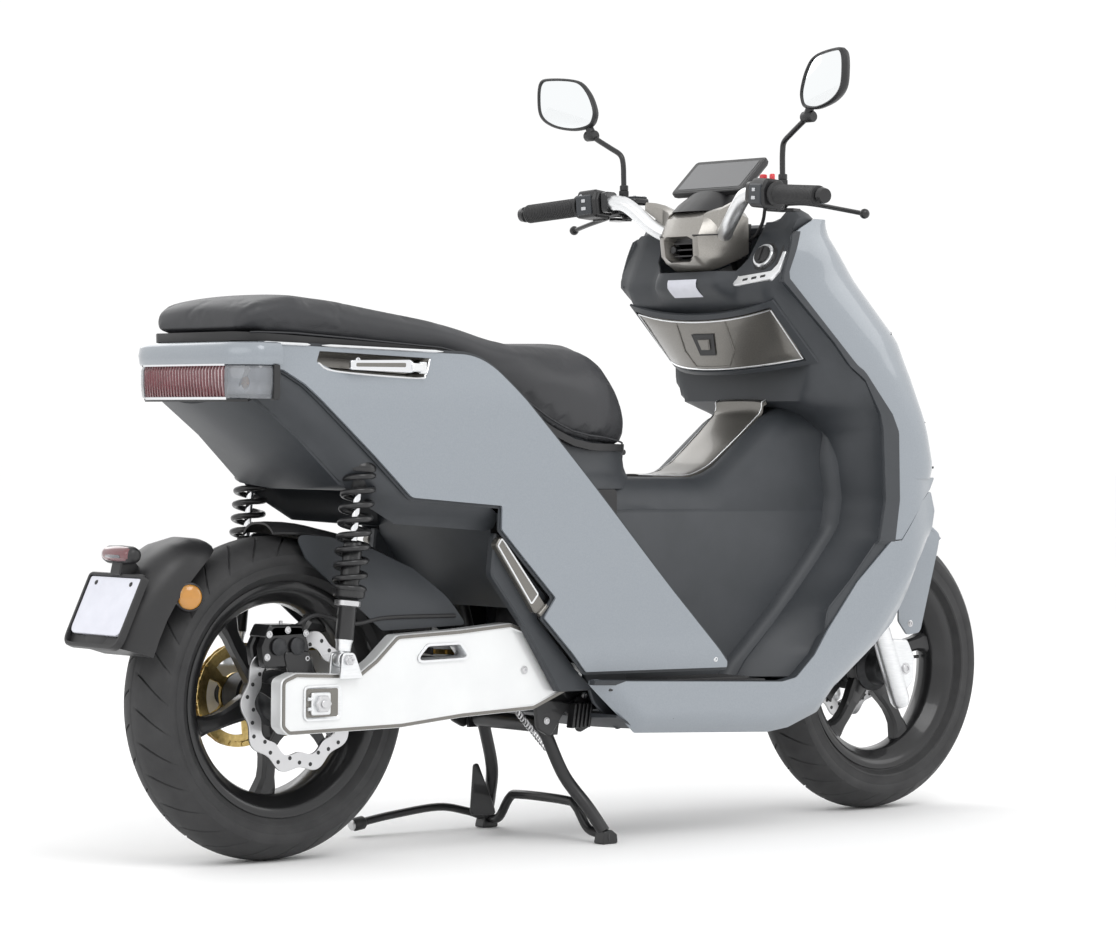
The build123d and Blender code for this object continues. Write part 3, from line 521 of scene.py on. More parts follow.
def cut_hole(work, outline):
    """Removes the faces whose middle lies inside a hole outline, after cutting along its sides."""
    count = len(outline)
    for i in range(count):
        a, b = Vector(outline[i]), Vector(outline[(i + 1) % count])
        run = b - a
        normal = Vector((-run.y, 0, run.x))
        geom = work.verts[:] + work.edges[:] + work.faces[:]
        bmesh.ops.bisect_plane(work, geom=geom, dist=1e-4, plane_co=Vector((a.x, 0, a.y)), plane_no=normal)
    doomed = []
    for face in work.faces:
        c = face.calc_center_median()
        inside = True
        sign = 0
        for i in range(count):
            a, b = Vector(outline[i]), Vector(outline[(i + 1) % count])
            cross = (b.x - a.x) * (c.z - a.y) - (b.y - a.y) * (c.x - a.x)
            side = 1 if cross > 0 else -1
            sign = sign or side
            inside = inside and side == sign
        if inside:
            doomed.append(face)
    bmesh.ops.delete(work, geom=doomed, context="FACES")


def thicken(work, thick):
    """Adds an inner face and a plain rim to an open sheet."""
    work.normal_update()
    rim = [e for e in work.edges if e.is_boundary]
    normals = {v: v.normal.copy() for v in work.verts}
    copy = bmesh.ops.duplicate(work, geom=work.verts[:] + work.edges[:] + work.faces[:])
    pairs = copy["vert_map"]
    back_faces = [g for g in copy["geom"] if isinstance(g, bmesh.types.BMFace)]
    for v, n in normals.items():
        pairs[v].co = v.co - n * thick
    bmesh.ops.reverse_faces(work, faces=back_faces)
    for e in rim:
        a, b = e.verts
        try:
            work.faces.new((b, a, pairs[a], pairs[b]))
        except ValueError:
            pass


def mix(a, b, t):
    """The value a share t of the way from a to b."""
    return a * (1 - t) + b * t


def wrap(shape, plan, profile):
    """A side-to-side band: a profile of (outward, z) pairs carried along a plan line of x and y."""
    pts = [Vector(p) for p in plan]
    rings = []
    for i, p in enumerate(pts):
        ahead = (pts[min(i + 1, len(pts) - 1)] - pts[max(i - 1, 0)]).normalized()
        out = Vector((-ahead.y, ahead.x))
        rings.append([(p.x + out.x * o, p.y + out.y * o, z) for o, z in profile])
    return shape.loft(rings)


def bolt(shape, x, y, z, radius=6.0, side=1):
    """A domed bolt with a hexagon socket, facing across."""
    outer = y + side * radius * 0.55
    profile = [(0.01, y), (radius * 1.25, y), (radius * 1.25, y + side * 1), (radius, y + side * 1.4)]
    profile += [(radius, outer - side * 1), (radius * 0.86, outer), (radius * 0.5, outer)]
    profile += [(radius * 0.46, outer - side * 1.6), (0.01, outer - side * 1.8)]
    shape.lathe(profile, x, z, 18, closed=False)


def basis(origin, along_axis, up_axis):
    """A matrix with its X axis along one direction and Z axis near another."""
    x = Vector(along_axis).normalized()
    z = Vector(up_axis)
    z = (z - x * z.dot(x)).normalized()
    y = z.cross(x)
    m = Matrix((x, y, z)).transposed().to_4x4()
    m.translation = Vector(origin)
    return m


# ---- wheels -------------------------------------------------------------------------------
def tyre(name, body, node, x, z, radius, half, flange):
    """A tyre with a crowned tread, curved sipes on both sides, ribbed shoulders and beads."""
    rows = []
    for i in range(25):
        s = -1 + i / 12
        r = radius - 30 * abs(s) ** 2.3
        rows.append((r, s * (half - 1), 3.2 * smooth(abs(s), 0.1, 0.25) * (1 - smooth(abs(s), 0.86, 0.97))))
    wall = [(radius - 36, half), (radius - 44, half - 0.6), (radius - 46, half - 1.8),
            (radius - 52, half - 1.6)]
    wall += [(206, half - 2), (203, half - 1), (200, half - 2.4), (193, flange - 1), (188, flange - 3)]
    wall += [(181, flange - 6), (181, flange - 12)]
    rows = [(r, -y, 0) for r, y in reversed(wall)] + rows + [(r, y, 0) for r, y in wall]
    shape = Shape()
    rings = []
    for k in range(30):
        for step, deep in ((0, 0), (0.35, 1), (0.8, 1), (1.15, 0), (4.0, 0), (6.2, 0.0), (9.0, 0)):
            ring = []
            for r, y, depth in rows:
                curve = 12 * (abs(y) / half) ** 1.6 + (6 if y > 0 else 0)
                a = radians(k * 12 + step + curve)
                d = r - depth * deep
                ring.append((x + d * cos(a), y, z + d * sin(a)))
            rings.append(ring)
    rings.append(rings[0])
    shape.loft(rings, False, False)
    return shape.make(name, body, "tyre", [node], sharp=30)


def spoke(shape, x, z, angle, thick, hub, reach, bow):
    """One tapered spoke with a raised spine, swept slightly round the hub."""
    rings = []
    for i in range(9):
        t = i / 8
        r = mix(hub, reach, t)
        width = mix(21, 13, smooth(t, 0, 0.55)) + 9 * smooth(t, 0.72, 1)
        deep = thick * (0.5 - 0.09 * sin(pi * t))
        a = angle + bow * sin(pi * t) * 0.5
        c, s = cos(a), sin(a)
        ring = []
        for u, v in ((-1, -0.6), (-0.62, -1), (0.62, -1), (1, -0.6), (1, 0.6), (0.62, 1), (-0.62, 1),
                     (-1, 0.6)):
            ring.append((x + r * c - u * width * s, v * deep, z + r * s + u * width * c))
        rings.append(ring)
    shape.loft(rings)


def rim(name, body, node, x, z, flange, thick, phase):
    """A black cast rim: stepped barrel, five spokes, lightened hub and a valve."""
    shape = Shape()
    profile = [(190, flange), (190, flange - 3), (183, flange - 5), (177, flange - 8), (174, flange - 16)]
    profile += [(168, flange - 22), (160, flange - 26)]
    outer = profile + [(r, -y) for r, y in reversed(profile)]
    inner = [(186, flange), (180, flange - 1), (172, flange - 5), (166, flange - 16), (158, flange - 22)]
    inner += [(154, flange - 30)]
    inner_run = [(r, -y) for r, y in inner] + [(r, y) for r, y in reversed(inner)]
    shape.lathe(outer + inner_run, x, z, 120)
    for k in range(5):
        spoke(shape, x, z, phase + 2 * pi * k / 5, thick, 30, 160, 0.16)
    hub = [(12, -thick / 2 - 12), (30, -thick / 2 - 12), (36, -thick / 2 - 4), (46, -thick / 2 + 2)]
    hub += [(48, 0), (46, thick / 2 - 2), (36, thick / 2 + 4), (30, thick / 2 + 12), (12, thick / 2 + 12)]
    shape.lathe(hub, x, z, 48)
    shape.rod((x + 150, 10, z + 12), (x + 132, 22, z + 10), 3.2, 12, 0.8)
    return shape.make(name, body, "black_alloy", [node], bevel=0.8)


def wave_disc(name, body, node, x, z, radius, y):
    """A wave brake disc with rows of holes, as a ring cut by angle."""
    lobes = 10
    shape = Shape()
    steps = 240
    inner_r = radius - 31
    rings = []
    for i in range(steps):
        a = 2 * pi * i / steps
        outer = radius - 5 + 5 * cos(lobes * a)
        inner = inner_r + 4 * cos(lobes * a)
        ring = []
        for r, w in ((inner, -2), (outer - 0.6, -2), (outer, -1.4), (outer, 1.4), (outer - 0.6, 2),
                     (inner, 2)):
            ring.append((x + r * cos(a), y + w, z + r * sin(a)))
        rings.append(ring)
    rings.append(rings[0])
    shape.loft(rings, True, False)
    obj = shape.make(name, body, "steel", [node], sharp=30)
    holes = Shape()
    for k in range(lobes * 3):
        a = 2 * pi * (k + 0.5) / (lobes * 3)
        r = radius - 18 + 6 * (k % 3 - 1)
        holes.rod((x + r * cos(a), y - 2.3, z + r * sin(a)), (x + r * cos(a), y + 2.3, z + r * sin(a)), 3.4,
                  12)
    holes.make(name + "_holes", body, "black_metal")
    return obj


def disc_carrier(name, body, x, z, radius, y, side):
    """The black star that carries a disc, with its rivets and wheel bolts."""
    shape = Shape()
    for k in range(5):
        a = 2 * pi * k / 5 + 0.3
        rings = []
        for t, width in ((0.30, 15), (0.62, 8), (0.74, 7.5), (0.80, 10)):
            r = radius * t
            ring = []
            for u, v in ((-1, -3), (1, -3), (1, 3), (-1, 3)):
                ring.append((x + r * cos(a) - u * width * sin(a), y + v,
                             z + r * sin(a) + u * width * cos(a)))
            rings.append(ring)
        shape.loft(rings)
    shape.lathe([(20, y - 4), (44, y - 4), (46, y - 2), (46, y + 3), (40, y + 5), (20, y + 5)], x, z, 48)
    shape.make(name, body, "black_metal", bevel=0.7)
    bolts = Shape()
    for k in range(5):
        a = 2 * pi * k / 5 + 0.3
        bolt(bolts, x + 33 * cos(a), y + side * 4, z + 33 * sin(a), 5, side)
        bolt(bolts, x + radius * 0.76 * cos(a), y + side * 3, z + radius * 0.76 * sin(a), 4.5, side)
    bolts.make(name + "_bolts", body, "steel")


def sprocket(name, body, node, x, z, teeth, y, windows):
    """A chain wheel with round-rooted teeth and kidney windows."""
    pitch = 12.7 / (2 * sin(pi / teeth))
    shape = Shape()
    steps = teeth * 8
    rings = []
    inner = pitch - 16 if windows else 9.4
    for i in range(steps):
        a = 2 * pi * i / steps
        outer = pitch - 1 + 3.6 * cos(teeth * a)
        ring = []
        for r, w in ((inner, -2.5), (outer - 1, -2.5), (outer, -1), (outer, 1), (outer - 1, 2.5),
                     (inner, 2.5)):
            ring.append((x + r * cos(a), y + w, z + r * sin(a)))
        rings.append(ring)
    rings.append(rings[0])
    shape.loft(rings, True, False)
    if windows:
        for k in range(5):
            a = 2 * pi * k / 5
            rings = []
            for r, width in ((34, 12), (inner * 0.7, 7), (inner + 2, 12)):
                ring = []
                for u, v in ((-1, -2.2), (1, -2.2), (1, 2.2), (-1, 2.2)):
                    ring.append((x + r * cos(a) - u * width * sin(a), y + v,
                                 z + r * sin(a) + u * width * cos(a)))
                rings.append(ring)
            shape.loft(rings)
        shape.lathe([(14, y - 2.4), (38, y - 2.4), (38, y + 2.4), (14, y + 2.4)], x, z, 48)
    return shape.make(name, body, "gold", [node], bevel=0.3)


def wheels():
    """Both wheels with their tyres, rims and discs."""
    tyre("rear_tyre_skin", "rear_wheel", "rear_tyre", 0, REAR_Z, REAR_R, 59, 50)
    rim("rear_rim_cast", "rear_wheel", "rear_rim", 0, REAR_Z, 50, 30, radians(50))
    wave_disc("rear_disc_ring", "rear_wheel", "rear_disc", 0, REAR_Z, 116, -88)
    disc_carrier("rear_disc_carrier", "rear_wheel", 0, REAR_Z, 116, -84, -1)
    hub = Shape()
    hub.lathe([(13, -80), (34, -80), (38, -74), (38, -30), (46, -22), (13, -22)], 0, REAR_Z, 48)
    hub.lathe([(13, 74), (36, 74), (40, 66), (40, 30), (46, 22), (13, 22)], 0, REAR_Z, 48)
    hub.make("rear_hub_ends", "rear_wheel", "cast", bevel=0.8)
    sprocket("rear_sprocket_teeth", "rear_wheel", "rear_sprocket", 0, REAR_Z, 40, 78, True)
    tyre("front_tyre_skin", "front_wheel", "front_tyre", FRONT_X, FRONT_Z, FRONT_R, 55, 42)
    rim("front_rim_cast", "front_wheel", "front_rim", FRONT_X, FRONT_Z, 42, 28, radians(14))
    wave_disc("front_disc_ring", "front_wheel", "front_disc", FRONT_X, FRONT_Z, 100, 60)
    disc_carrier("front_disc_carrier", "front_wheel", FRONT_X, FRONT_Z, 100, 57, 1)
    hub = Shape()
    hub.lathe([(13, -50), (30, -50), (33, -46), (34, -26), (46, -16), (13, -16)], FRONT_X, FRONT_Z, 48)
    hub.lathe([(13, 58), (30, 58), (33, 50), (34, 26), (46, 16), (13, 16)], FRONT_X, FRONT_Z, 48)
    hub.make("front_hub_ends", "front_wheel", "cast", bevel=0.8)


# ---- swingarm and drive -------------------------------------------------------------------
PIVOT = (517, 289)
ARM_LINE = [
    (-80, 262), (-80, 302), (-52, 312), (71, 306), (106, 328), (150, 366), (280, 371), (389, 379),
    (445, 361), (508, 313), (543, 302), (543, 270), (520, 263), (441, 233), (287, 227), (160, 216),
    (-66, 214), (-80, 226),
]
ARM_ROUND = [14, 14, 10, 20, 20, 20, 20, 14, 20, 20, 14, 14, 12, 20, 20, 20, 14, 14]


def arm_side(k):
    """One swingarm plate: white casting, taupe rim, slot and axle recess."""
    name = "left" if k > 0 else "right"
    outline = rounded(ARM_LINE, ARM_ROUND, 5)
    body = Shape()
    face = shrink(outline, 7)
    deep = shrink(outline, 9)
    rings = [
        [(x, k * 118, z) for x, z in shrink(outline, 3)],
        [(x, k * 121, z) for x, z in outline],
        [(x, k * 146, z) for x, z in outline],
        [(x, k * 149, z) for x, z in shrink(outline, 2)],
        [(x, k * 149, z) for x, z in face],
        [(x, k * 147.6, z) for x, z in deep],
    ]
    body.loft(rings)
    arm = body.make(f"arm_{name}", "swingarm", "pearl", ["swingarm"] if k > 0 else [], bevel=0)
    band = Shape()
    edge_out, edge_in = shrink(outline, 1.4), shrink(outline, 6.6)
    loops = []
    for line, y in ((edge_out, 148.4), (edge_out, 150), (edge_in, 150), (edge_in, 148.4)):
        loops.append([(x, k * y, z) for x, z in line])
    loops.append(loops[0])
    band.loft(loops, True, False)
    band.make(f"arm_rim_{name}", "swingarm", "trim")
    slot = rounded([(190, 323), (214, 346), (280, 347), (300, 325)], [8, 10, 10, 8], 5)
    carve(arm, Shape().prism(slot, k * 100, k * 170))
    lip = Shape()
    loops = []
    for amount, y in ((-4, 148.4), (-4, 150.4), (0, 150.4), (3, 141), (3, 124)):
        loops.append([(x, k * y, z) for x, z in shrink(slot, amount)])
    lip.loft(loops, True, False)
    lip.make(f"arm_slot_{name}", "swingarm", "silver")
    recess = Shape()
    frame_line = rounded([(-34, 238), (34, 238), (34, 288), (-34, 288)], 7, 4)
    loops = []
    for amount, y in ((-3, 148.2), (-3, 150.6), (0, 150.6), (3, 147.9)):
        loops.append([(x, k * y, z) for x, z in shrink(frame_line, amount)])
    recess.loft(loops, True, False)
    recess.make(f"axle_frame_{name}", "swingarm", "silver")
    pocket = Shape()
    pocket.prism(shrink(frame_line, 1), k * 147.2, k * 148.4, 0.4)
    pocket.make(f"axle_pocket_{name}", "swingarm", "trim")
    gear = Shape()
    gear.prism(rounded([(-24, 244), (14, 244), (14, 280), (-24, 280)], 4, 3), k * 148, k * 154, 1.5)
    gear.rod((-30, k * 151, 254), (-18, k * 151, 254), 3, 16, 0.6)
    gear.rod((-30, k * 151, 270), (-18, k * 151, 270), 3, 16, 0.6)
    gear.make(f"axle_block_{name}", "swingarm", "silver", bevel=0.5)
    nut = Shape()
    hexagon(nut, -4, 262, k * 154, k * 161, 15)
    nut.rod((-4, k * 161, 262), (-4, k * 164, 262), 7, 20, 1.2)
    nut.make(f"axle_nut_{name}", "swingarm", "steel", bevel=0.8)


def carve(obj, cutter):
    """Cuts a closed shape out of a piece with a boolean, applied at once."""
    mesh = bpy.data.meshes.new("cutter")
    mesh.from_pydata([at(*v) for v in cutter.verts], [], cutter.faces)
    work = bmesh.new()
    work.from_mesh(mesh)
    bmesh.ops.recalc_face_normals(work, faces=work.faces)
    work.to_mesh(mesh)
    work.free()
    tool = bpy.data.objects.new("cutter", mesh)
    bpy.context.scene.collection.objects.link(tool)
    mod = obj.modifiers.new("cut", "BOOLEAN")
    mod.operation = "DIFFERENCE"
    mod.object = tool
    bake(obj)
    obj.data.set_sharp_from_angle(angle=radians(30))
    bpy.data.objects.remove(tool)


def bake(obj):
    """Applies every modifier of a piece to its mesh."""
    bpy.context.view_layer.update()
    graph = bpy.context.evaluated_depsgraph_get()
    mesh = bpy.data.meshes.new_from_object(obj.evaluated_get(graph), depsgraph=graph)
    obj.modifiers.clear()
    obj.data = mesh


def hexagon(shape, x, z, y0, y1, radius):
    """A six-sided head facing across."""
    outline = [(x + radius * cos(pi * i / 3), z + radius * sin(pi * i / 3)) for i in range(6)]
    shape.prism(outline, y0, y1, 1.2)


def swingarm():
    """The deep box swingarm and what is bolted to it."""
    for k in (1, -1):
        arm_side(k)
    middle = Shape()
    bridge = rounded([(300, 262), (352, 262), (352, 318), (300, 318)], 10, 4)
    middle.prism(bridge, -118, 66, 2)
    middle.prism(rounded([(306, 225), (346, 225), (346, 238), (306, 238)], 4, 3), 60, 118, 2)
    middle.prism(rounded([(300, 308), (352, 308), (352, 319), (300, 319)], 4, 3), 60, 118, 2)
    middle.rod((0, -146, REAR_Z), (0, 146, REAR_Z), 10, 24, 1)
    middle.lathe([(10, -118), (20, -118), (20, -94), (10, -94)], 0, REAR_Z, 32)
    middle.lathe([(10, 118), (20, 118), (20, 92), (10, 92)], 0, REAR_Z, 32)
    middle.make("arm_bridge", "swingarm", "cast", bevel=0.8)
    ears = Shape()
    for y in (128, 157):
        ear = rounded([(26, 300), (72, 300), (54, 342), (30, 342)], [2, 2, 11, 11], 4)
        ears.prism(ear, y, y + 5, 1)
    ears.mirrored()
    ears.make("shock_ears", "swingarm", "silver", bevel=0.5)
    pins = Shape()
    for k in (1, -1):
        hexagon(pins, 42, 330, k * 162, k * 168, 9)
        bolt(pins, 42, k * 168, 330, 5, k)
        bolt(pins, 420, k * 148, 300, 5.5, k)
        bolt(pins, 500, k * 148, 283, 4, k)
    pins.make("arm_bolts", "swingarm", "steel")


def pivot_caps():
    """The white stepped caps on the frame stubs, outside the arms."""
    for k, name in SIDES:
        cap = Shape()
        profile = [(0.01, 151), (20, 151), (20, 157), (17, 159), (17, 164), (12, 167), (8, 167), (7, 164),
                   (0.01, 164)]
        cap.lathe([(r, k * y) for r, y in profile], *PIVOT, 40, closed=False)
        cap.make(f"pivot_cap_{name}", "chassis", "pearl")


def chain():
    """Separate link plates and rollers round both sprockets."""
    rear_r = 12.7 / (2 * sin(pi / 40))
    front_r = 12.7 / (2 * sin(pi / 12))
    dx, dz = PIVOT[0], PIVOT[1] - REAR_Z
    length = math.hypot(dx, dz)
    tilt = math.atan2(dz, dx)
    lean = math.acos((rear_r - front_r) / length)
    path = []
    for start, end, r, cx, cz in ((tilt + lean, tilt + 2 * pi - lean, rear_r, 0, REAR_Z),
                                  (tilt - lean, tilt + lean, front_r, *PIVOT)):
        steps = max(8, int(r * (end - start) / 4))
        for i in range(steps + 1):
            a = mix(start, end, i / steps)
            path.append(Vector((cx + r * cos(a), cz + r * sin(a))))
    path.append(path[0])
    marks = [0.0]
    for a, b in zip(path, path[1:]):
        marks.append(marks[-1] + (b - a).length)
    links = int(round(marks[-1] / 12.7 / 2)) * 2
    pins = []
    k = 0
    for i in range(links):
        want = marks[-1] * i / links
        while marks[k + 1] < want:
            k += 1
        t = (want - marks[k]) / max(1e-6, marks[k + 1] - marks[k])
        pins.append(path[k].lerp(path[k + 1], t))
    shape = Shape()
    for i, p in enumerate(pins):
        q = pins[(i + 1) % links]
        run = (q - p).normalized()
        side = Vector((-run.y, run.x))
        outline = []
        for centre_point, sign in ((q, 1), (p, -1)):
            for angle in (-90, -45, 0, 45, 90):
                a = radians(angle)
                spot = centre_point + run * (sign * 4.2 * cos(a)) + side * (sign * 4.2 * sin(a))
                outline.append(tuple(spot))
        y_out = 5.2 if i % 2 else 3.6
        for y in (-y_out, y_out):
            shape.prism(outline, 78 + y - 0.7, 78 + y + 0.7)
        shape.rod((p.x, 71.8, p.y), (p.x, 84.2, p.y), 2.1, 10)
    shape.make("chain_links", "swingarm", "gold", ["chain"])


def caliper():
    """The rear caliper and its dark cover plate, with silver bolts."""
    y = -88
    shape = Shape()
    back = rounded([(-86, 318), (-6, 318), (2, 346), (-10, 384), (-74, 386), (-92, 352)],
                   [10, 12, 10, 14, 16, 12], 4)
    shape.prism(back, y - 26, y - 6, 3)
    shape.prism(back, y + 6, y + 22, 3)
    shape.prism(rounded([(-88, 366), (-10, 368), (-12, 386), (-76, 387)], 5, 3), y - 26, y + 22, 3)
    shape.prism(rounded([(-24, 240), (24, 240), (26, 280), (-4, 344), (-52, 344)], 8, 4), y - 29, y - 23,
                1.5)
    shape.make("caliper_body", "swingarm", "black_alloy", ["rear_caliper"], bevel=0.8)
    pot = Shape()
    for cx, cz in ((-62, 352), (-26, 352)):
        pot.lathe([(0.01, y - 27), (13, y - 27), (14, y - 28), (14, y - 31), (11, y - 33), (0.01, y - 33)],
                  cx, cz, 28, False)
    pot.make("caliper_pots", "swingarm", "cast")
    bolts = Shape()
    for cx, cz in ((-80, 372), (-44, 378), (-8, 372), (-84, 336), (-6, 332), (-16, 300), (12, 262)):
        bolt(bolts, cx, y - 27, cz, 4.6, -1)
    bolts.rod((-44, y - 8, 392), (-44, y - 8, 382), 3, 12, 0.8)
    bolts.make("caliper_bolts", "swingarm", "steel")
    hose = spline([(-20, y - 18, 384), (20, y - 20, 400), (90, -108, 384), (160, -110, 392),
                   (300, -112, 392)], 8)
    Shape().tube(hose, 3.4, 12).make("brake_hose", "swingarm", "rubber")


def hugger():
    """Black arch over the tyre with side plates, and the tapered rear fender with the plate carrier."""
    shape = Shape()
    stations = []
    for angle in range(94, 41, -4):
        flare = max(0, 76 - angle) ** 1.5 / 5
        stations.append((285 + flare, radians(angle)))
    line = [(r * cos(a), REAR_Z + r * sin(a)) for r, a in stations]
    line += [(268, 455), (286, 428), (300, 398), (306, 360), (308, 326)]
    rings = []
    for i, (x, z) in enumerate(line):
        ahead = Vector(line[min(i + 1, len(line) - 1)]) - Vector(line[max(i - 1, 0)])
        out = Vector((-ahead.y, ahead.x)).normalized()
        if out.y < 0:
            out = -out
        half = 66 * (1 - 0.45 * (1 - smooth(i, -1, 3)))
        ring = []
        for j in range(17):
            s = -1 + j / 8
            drop = 16 * abs(s) ** 3
            ring.append((x - out.x * drop, s * half, z - out.y * drop))
        for j in range(17):
            s = 1 - j / 8
            drop = 16 * abs(s) ** 3 + 3.5
            ring.append((x - out.x * drop, s * (half - 2), z - out.y * drop))
        rings.append(ring)
    shape.loft(rings)
    shape.make("hugger_arch", "swingarm", "black_plastic", ["rear_hugger"], sharp=50)

    def plate(u, v):
        return (u, -(66 + 44 * smooth(528 - v, 0, 130)), v)

    outline = rounded(
        [(8, 528), (74, 523), (160, 502), (232, 470), (284, 426), (326, 376), (150, 371), (91, 418),
         (22, 488)],
        [12, 10, 10, 10, 10, 6, 14, 20, 14], 4)
    skin("hugger_sides", outline, plate, "swingarm", "satin_plastic", 3, 16)

    fender = Shape()
    rings = []
    for angle, top, half in ((118, 290, 30), (120, 300, 46), (124, 316, 58), (130, 328, 66), (137, 338, 70),
                             (144, 342, 70), (151, 345, 70), (158, 348, 70), (164, 348, 68)):
        a = radians(angle)
        low_r = 278
        ring = []
        for j in range(13):
            s = -1 + j / 6
            r = mix(top, low_r, 0.5 * abs(s) ** 4) if angle > 124 else mix(top, low_r, 0.8 * abs(s) ** 3)
            ring.append((r * cos(a), s * half, REAR_Z + r * sin(a)))
        for j in range(13):
            s = 1 - j / 6
            ring.append((low_r * cos(a), s * half, REAR_Z + low_r * sin(a)))
        rings.append(ring)
    fender.loft(rings)
    fender.make("rear_fender", "swingarm", "black_plastic", sharp=45)
    stay = spline([(-66, 118, 296), (-80, 106, 330), (-140, 98, 430), (-168, 84, 468), (-196, 64, 486)], 6)
    Shape().tube(stay, 6, 14).make("fender_stay", "swingarm", "black_metal")


def plate_group():
    """The blank plate in its frame, the plate lamp with its red lens and the amber reflector."""
    low, high = Vector((-340, 0, 350)), Vector((-283, 0, 472))
    up = (high - low).normalized()
    out = Vector((-up.z, 0, up.x))
    m = basis((low + high) / 2 + out * 1.0, (0, 1, 0), up)
    rim_line = rounded([(-77, -64), (77, -64), (77, 62), (-77, 62)], [22, 22, 10, 10], 5)
    frame_shape = Shape()
    loops = []
    for amount, depth in ((0, 6), (0, -3), (2, -5), (6, -5), (7, -1), (7, 4)):
        loops.append([(x, depth, z) for x, z in shrink(rim_line, amount)])
    frame_shape.loft(loops, True, False)
    frame_shape.prism(shrink(rim_line, 5), 3, 8, 1)
    turn = side_facing(m, out)
    frame_shape.turned(turn)
    frame_shape.make("plate_frame", "swingarm", "black_plastic", sharp=40)
    plate = Shape()
    plate.prism(rounded([(-69, -42), (69, -42), (69, 55), (-69, 55)], [14, 14, 5, 5], 5), -3.4, 3, 1)
    plate.turned(turn)
    plate.make("plate_blank", "swingarm", "plate_white", ["number_plate"], bevel=0.4)
    boss = Shape()
    for y in (-48, 48):
        boss.ball((y, -3.6, 44), 4, 8, 12, (1, 0.4, 1))
    boss.turned(turn)
    boss.make("plate_screws", "swingarm", "black_metal")
    lamp = Shape()
    lamp.tube([(-283, y, 497) for y in (-42, -38, -30, 0, 30, 38, 42)], [6, 11.5, 14, 15, 14, 11.5, 6], 24)
    lamp.prism(rounded([(-296, 466), (-258, 452), (-250, 470), (-270, 492), (-290, 492)], 5, 3), -14, 14, 2)
    lamp.make("plate_lamp", "swingarm", "black_plastic", bevel=0.8)
    lens = Shape()
    lens.tube([(-287, y, 498) for y in (-38, -35, -28, 0, 28, 35, 38)], [5, 9.5, 12, 13, 12, 9.5, 5], 24)
    lens.make("plate_lamp_lens", "swingarm", "red_lens")
    stripe = Shape()
    stripe.tube([(-299, y, 495) for y in (-20, -18, 18, 20)], [1, 2.6, 2.6, 1], 10)
    stripe.make("plate_lamp_stripe", "swingarm", "clear_lens")
    amber = Shape()
    turned_profile = [(0.01, -8), (8, -7), (15, -5), (19, -2), (20, 0), (20, 4), (0.01, 4)]
    amber.lathe(turned_profile, 0, 0, 40, False)
    yaw = basis((-203, -72, 432), (0.93, -0.36, 0), (0, 0, 1))
    amber.turned(yaw)
    amber.make("amber_reflector", "swingarm", "amber_lens")
    cup = Shape()
    cup.lathe([(20, -2), (22, -1), (23, 2), (23, 7), (10, 9), (0.01, 9)], 0, 0, 40, False)
    cup.turned(yaw)
    cup.make("reflector_cup", "swingarm", "black_plastic")


def side_facing(m, out):
    """Turns a shape drawn in side view so that its right face looks along out."""
    x = m.col[0].to_3d()
    z = m.col[2].to_3d()
    turn = Matrix((x, -out, z)).transposed().to_4x4()
    turn.translation = m.translation
    return turn


# ---- shocks -------------------------------------------------------------------------------
def shock(k):
    """One coil-over shock, k being 1 on the left and -1 on the right."""
    name = "left" if k > 0 else "right"
    low = Vector((42, k * 145, 330))
    top = Vector((78, k * 145, 668))
    run = (top - low).normalized()
    length = (top - low).length

    def on(d):
        return low + run * d

    eye = Shape()
    eye.lathe([(7, k * 134), (15, k * 134), (16, k * 137), (16, k * 153), (15, k * 156), (7, k * 156)], 78,
              668, 32)
    eye.tube([on(length - 40), on(length - 36), on(length - 30), on(length - 22), on(length - 14),
              on(length - 10)],
             [25, 28, 28, 22, 16, 10], 32)
    eye.make(f"shock_head_{name}", f"shock_upper_{name}", "black_metal", [f"shock_upper_{name}"], bevel=0.6)
    shaft = Shape()
    shaft.rod(on(length - 200), on(length - 30), 6, 24)
    shaft.make(f"shock_shaft_{name}", f"shock_upper_{name}", "chrome", bevel=0)
    body = Shape()
    body.tube([on(30), on(34), on(96), on(100), on(104), on(112), on(116), on(186), on(190)],
              [14, 15, 15, 25, 26.5, 26.5, 16, 15, 12], 32)
    body.make(f"shock_body_{name}", f"shock_lower_{name}", "black_metal", [f"shock_lower_{name}"],
              bevel=0.6)
    fork = Shape()
    fork.lathe([(8, k * 136), (13, k * 136), (14, k * 138), (14, k * 152), (13, k * 154), (8, k * 154)], 42,
               330, 32)
    fork.tube([on(10), on(14), on(26), on(32)], [8, 12, 13, 15], 28)
    fork.make(f"shock_clevis_{name}", f"shock_lower_{name}", "silver", bevel=0.6)
    collar = Shape()
    collar.tube([on(84), on(86), on(94), on(96)], [14.8, 21, 21, 14.8], 32, False)
    collar.make(f"shock_collar_{name}", f"shock_lower_{name}", "steel")
    bumper = Shape()
    bumper.tube([on(length - 66), on(length - 60), on(length - 42), on(length - 38)], [10, 13, 14, 12], 24)
    bumper.make(f"shock_bumper_{name}", f"shock_upper_{name}", "rubber")
    path = []
    turns = 9.0
    start, end = 114, length - 38
    side = run.cross(Vector((0, 1, 0))).normalized()
    other = run.cross(side)
    steps = int(turns * 22)
    for i in range(steps + 1):
        t = i / steps
        flat = 0.045
        d = mix(start, end, min(1, max(0, (t - flat) / (1 - 2 * flat))))
        a = 2 * pi * turns * t
        path.append(on(d) + side * (24 * cos(a)) + other * (24 * sin(a)))
    coil = Shape()
    coil.tube(path, 5.0, 10)
    ends = (f"shock_upper_{name}", f"shock_lower_{name}", at(*on(end)), at(*on(start)))
    coil.make(f"coil_{name}", ends, "black_metal", [f"shock_spring_{name}"])


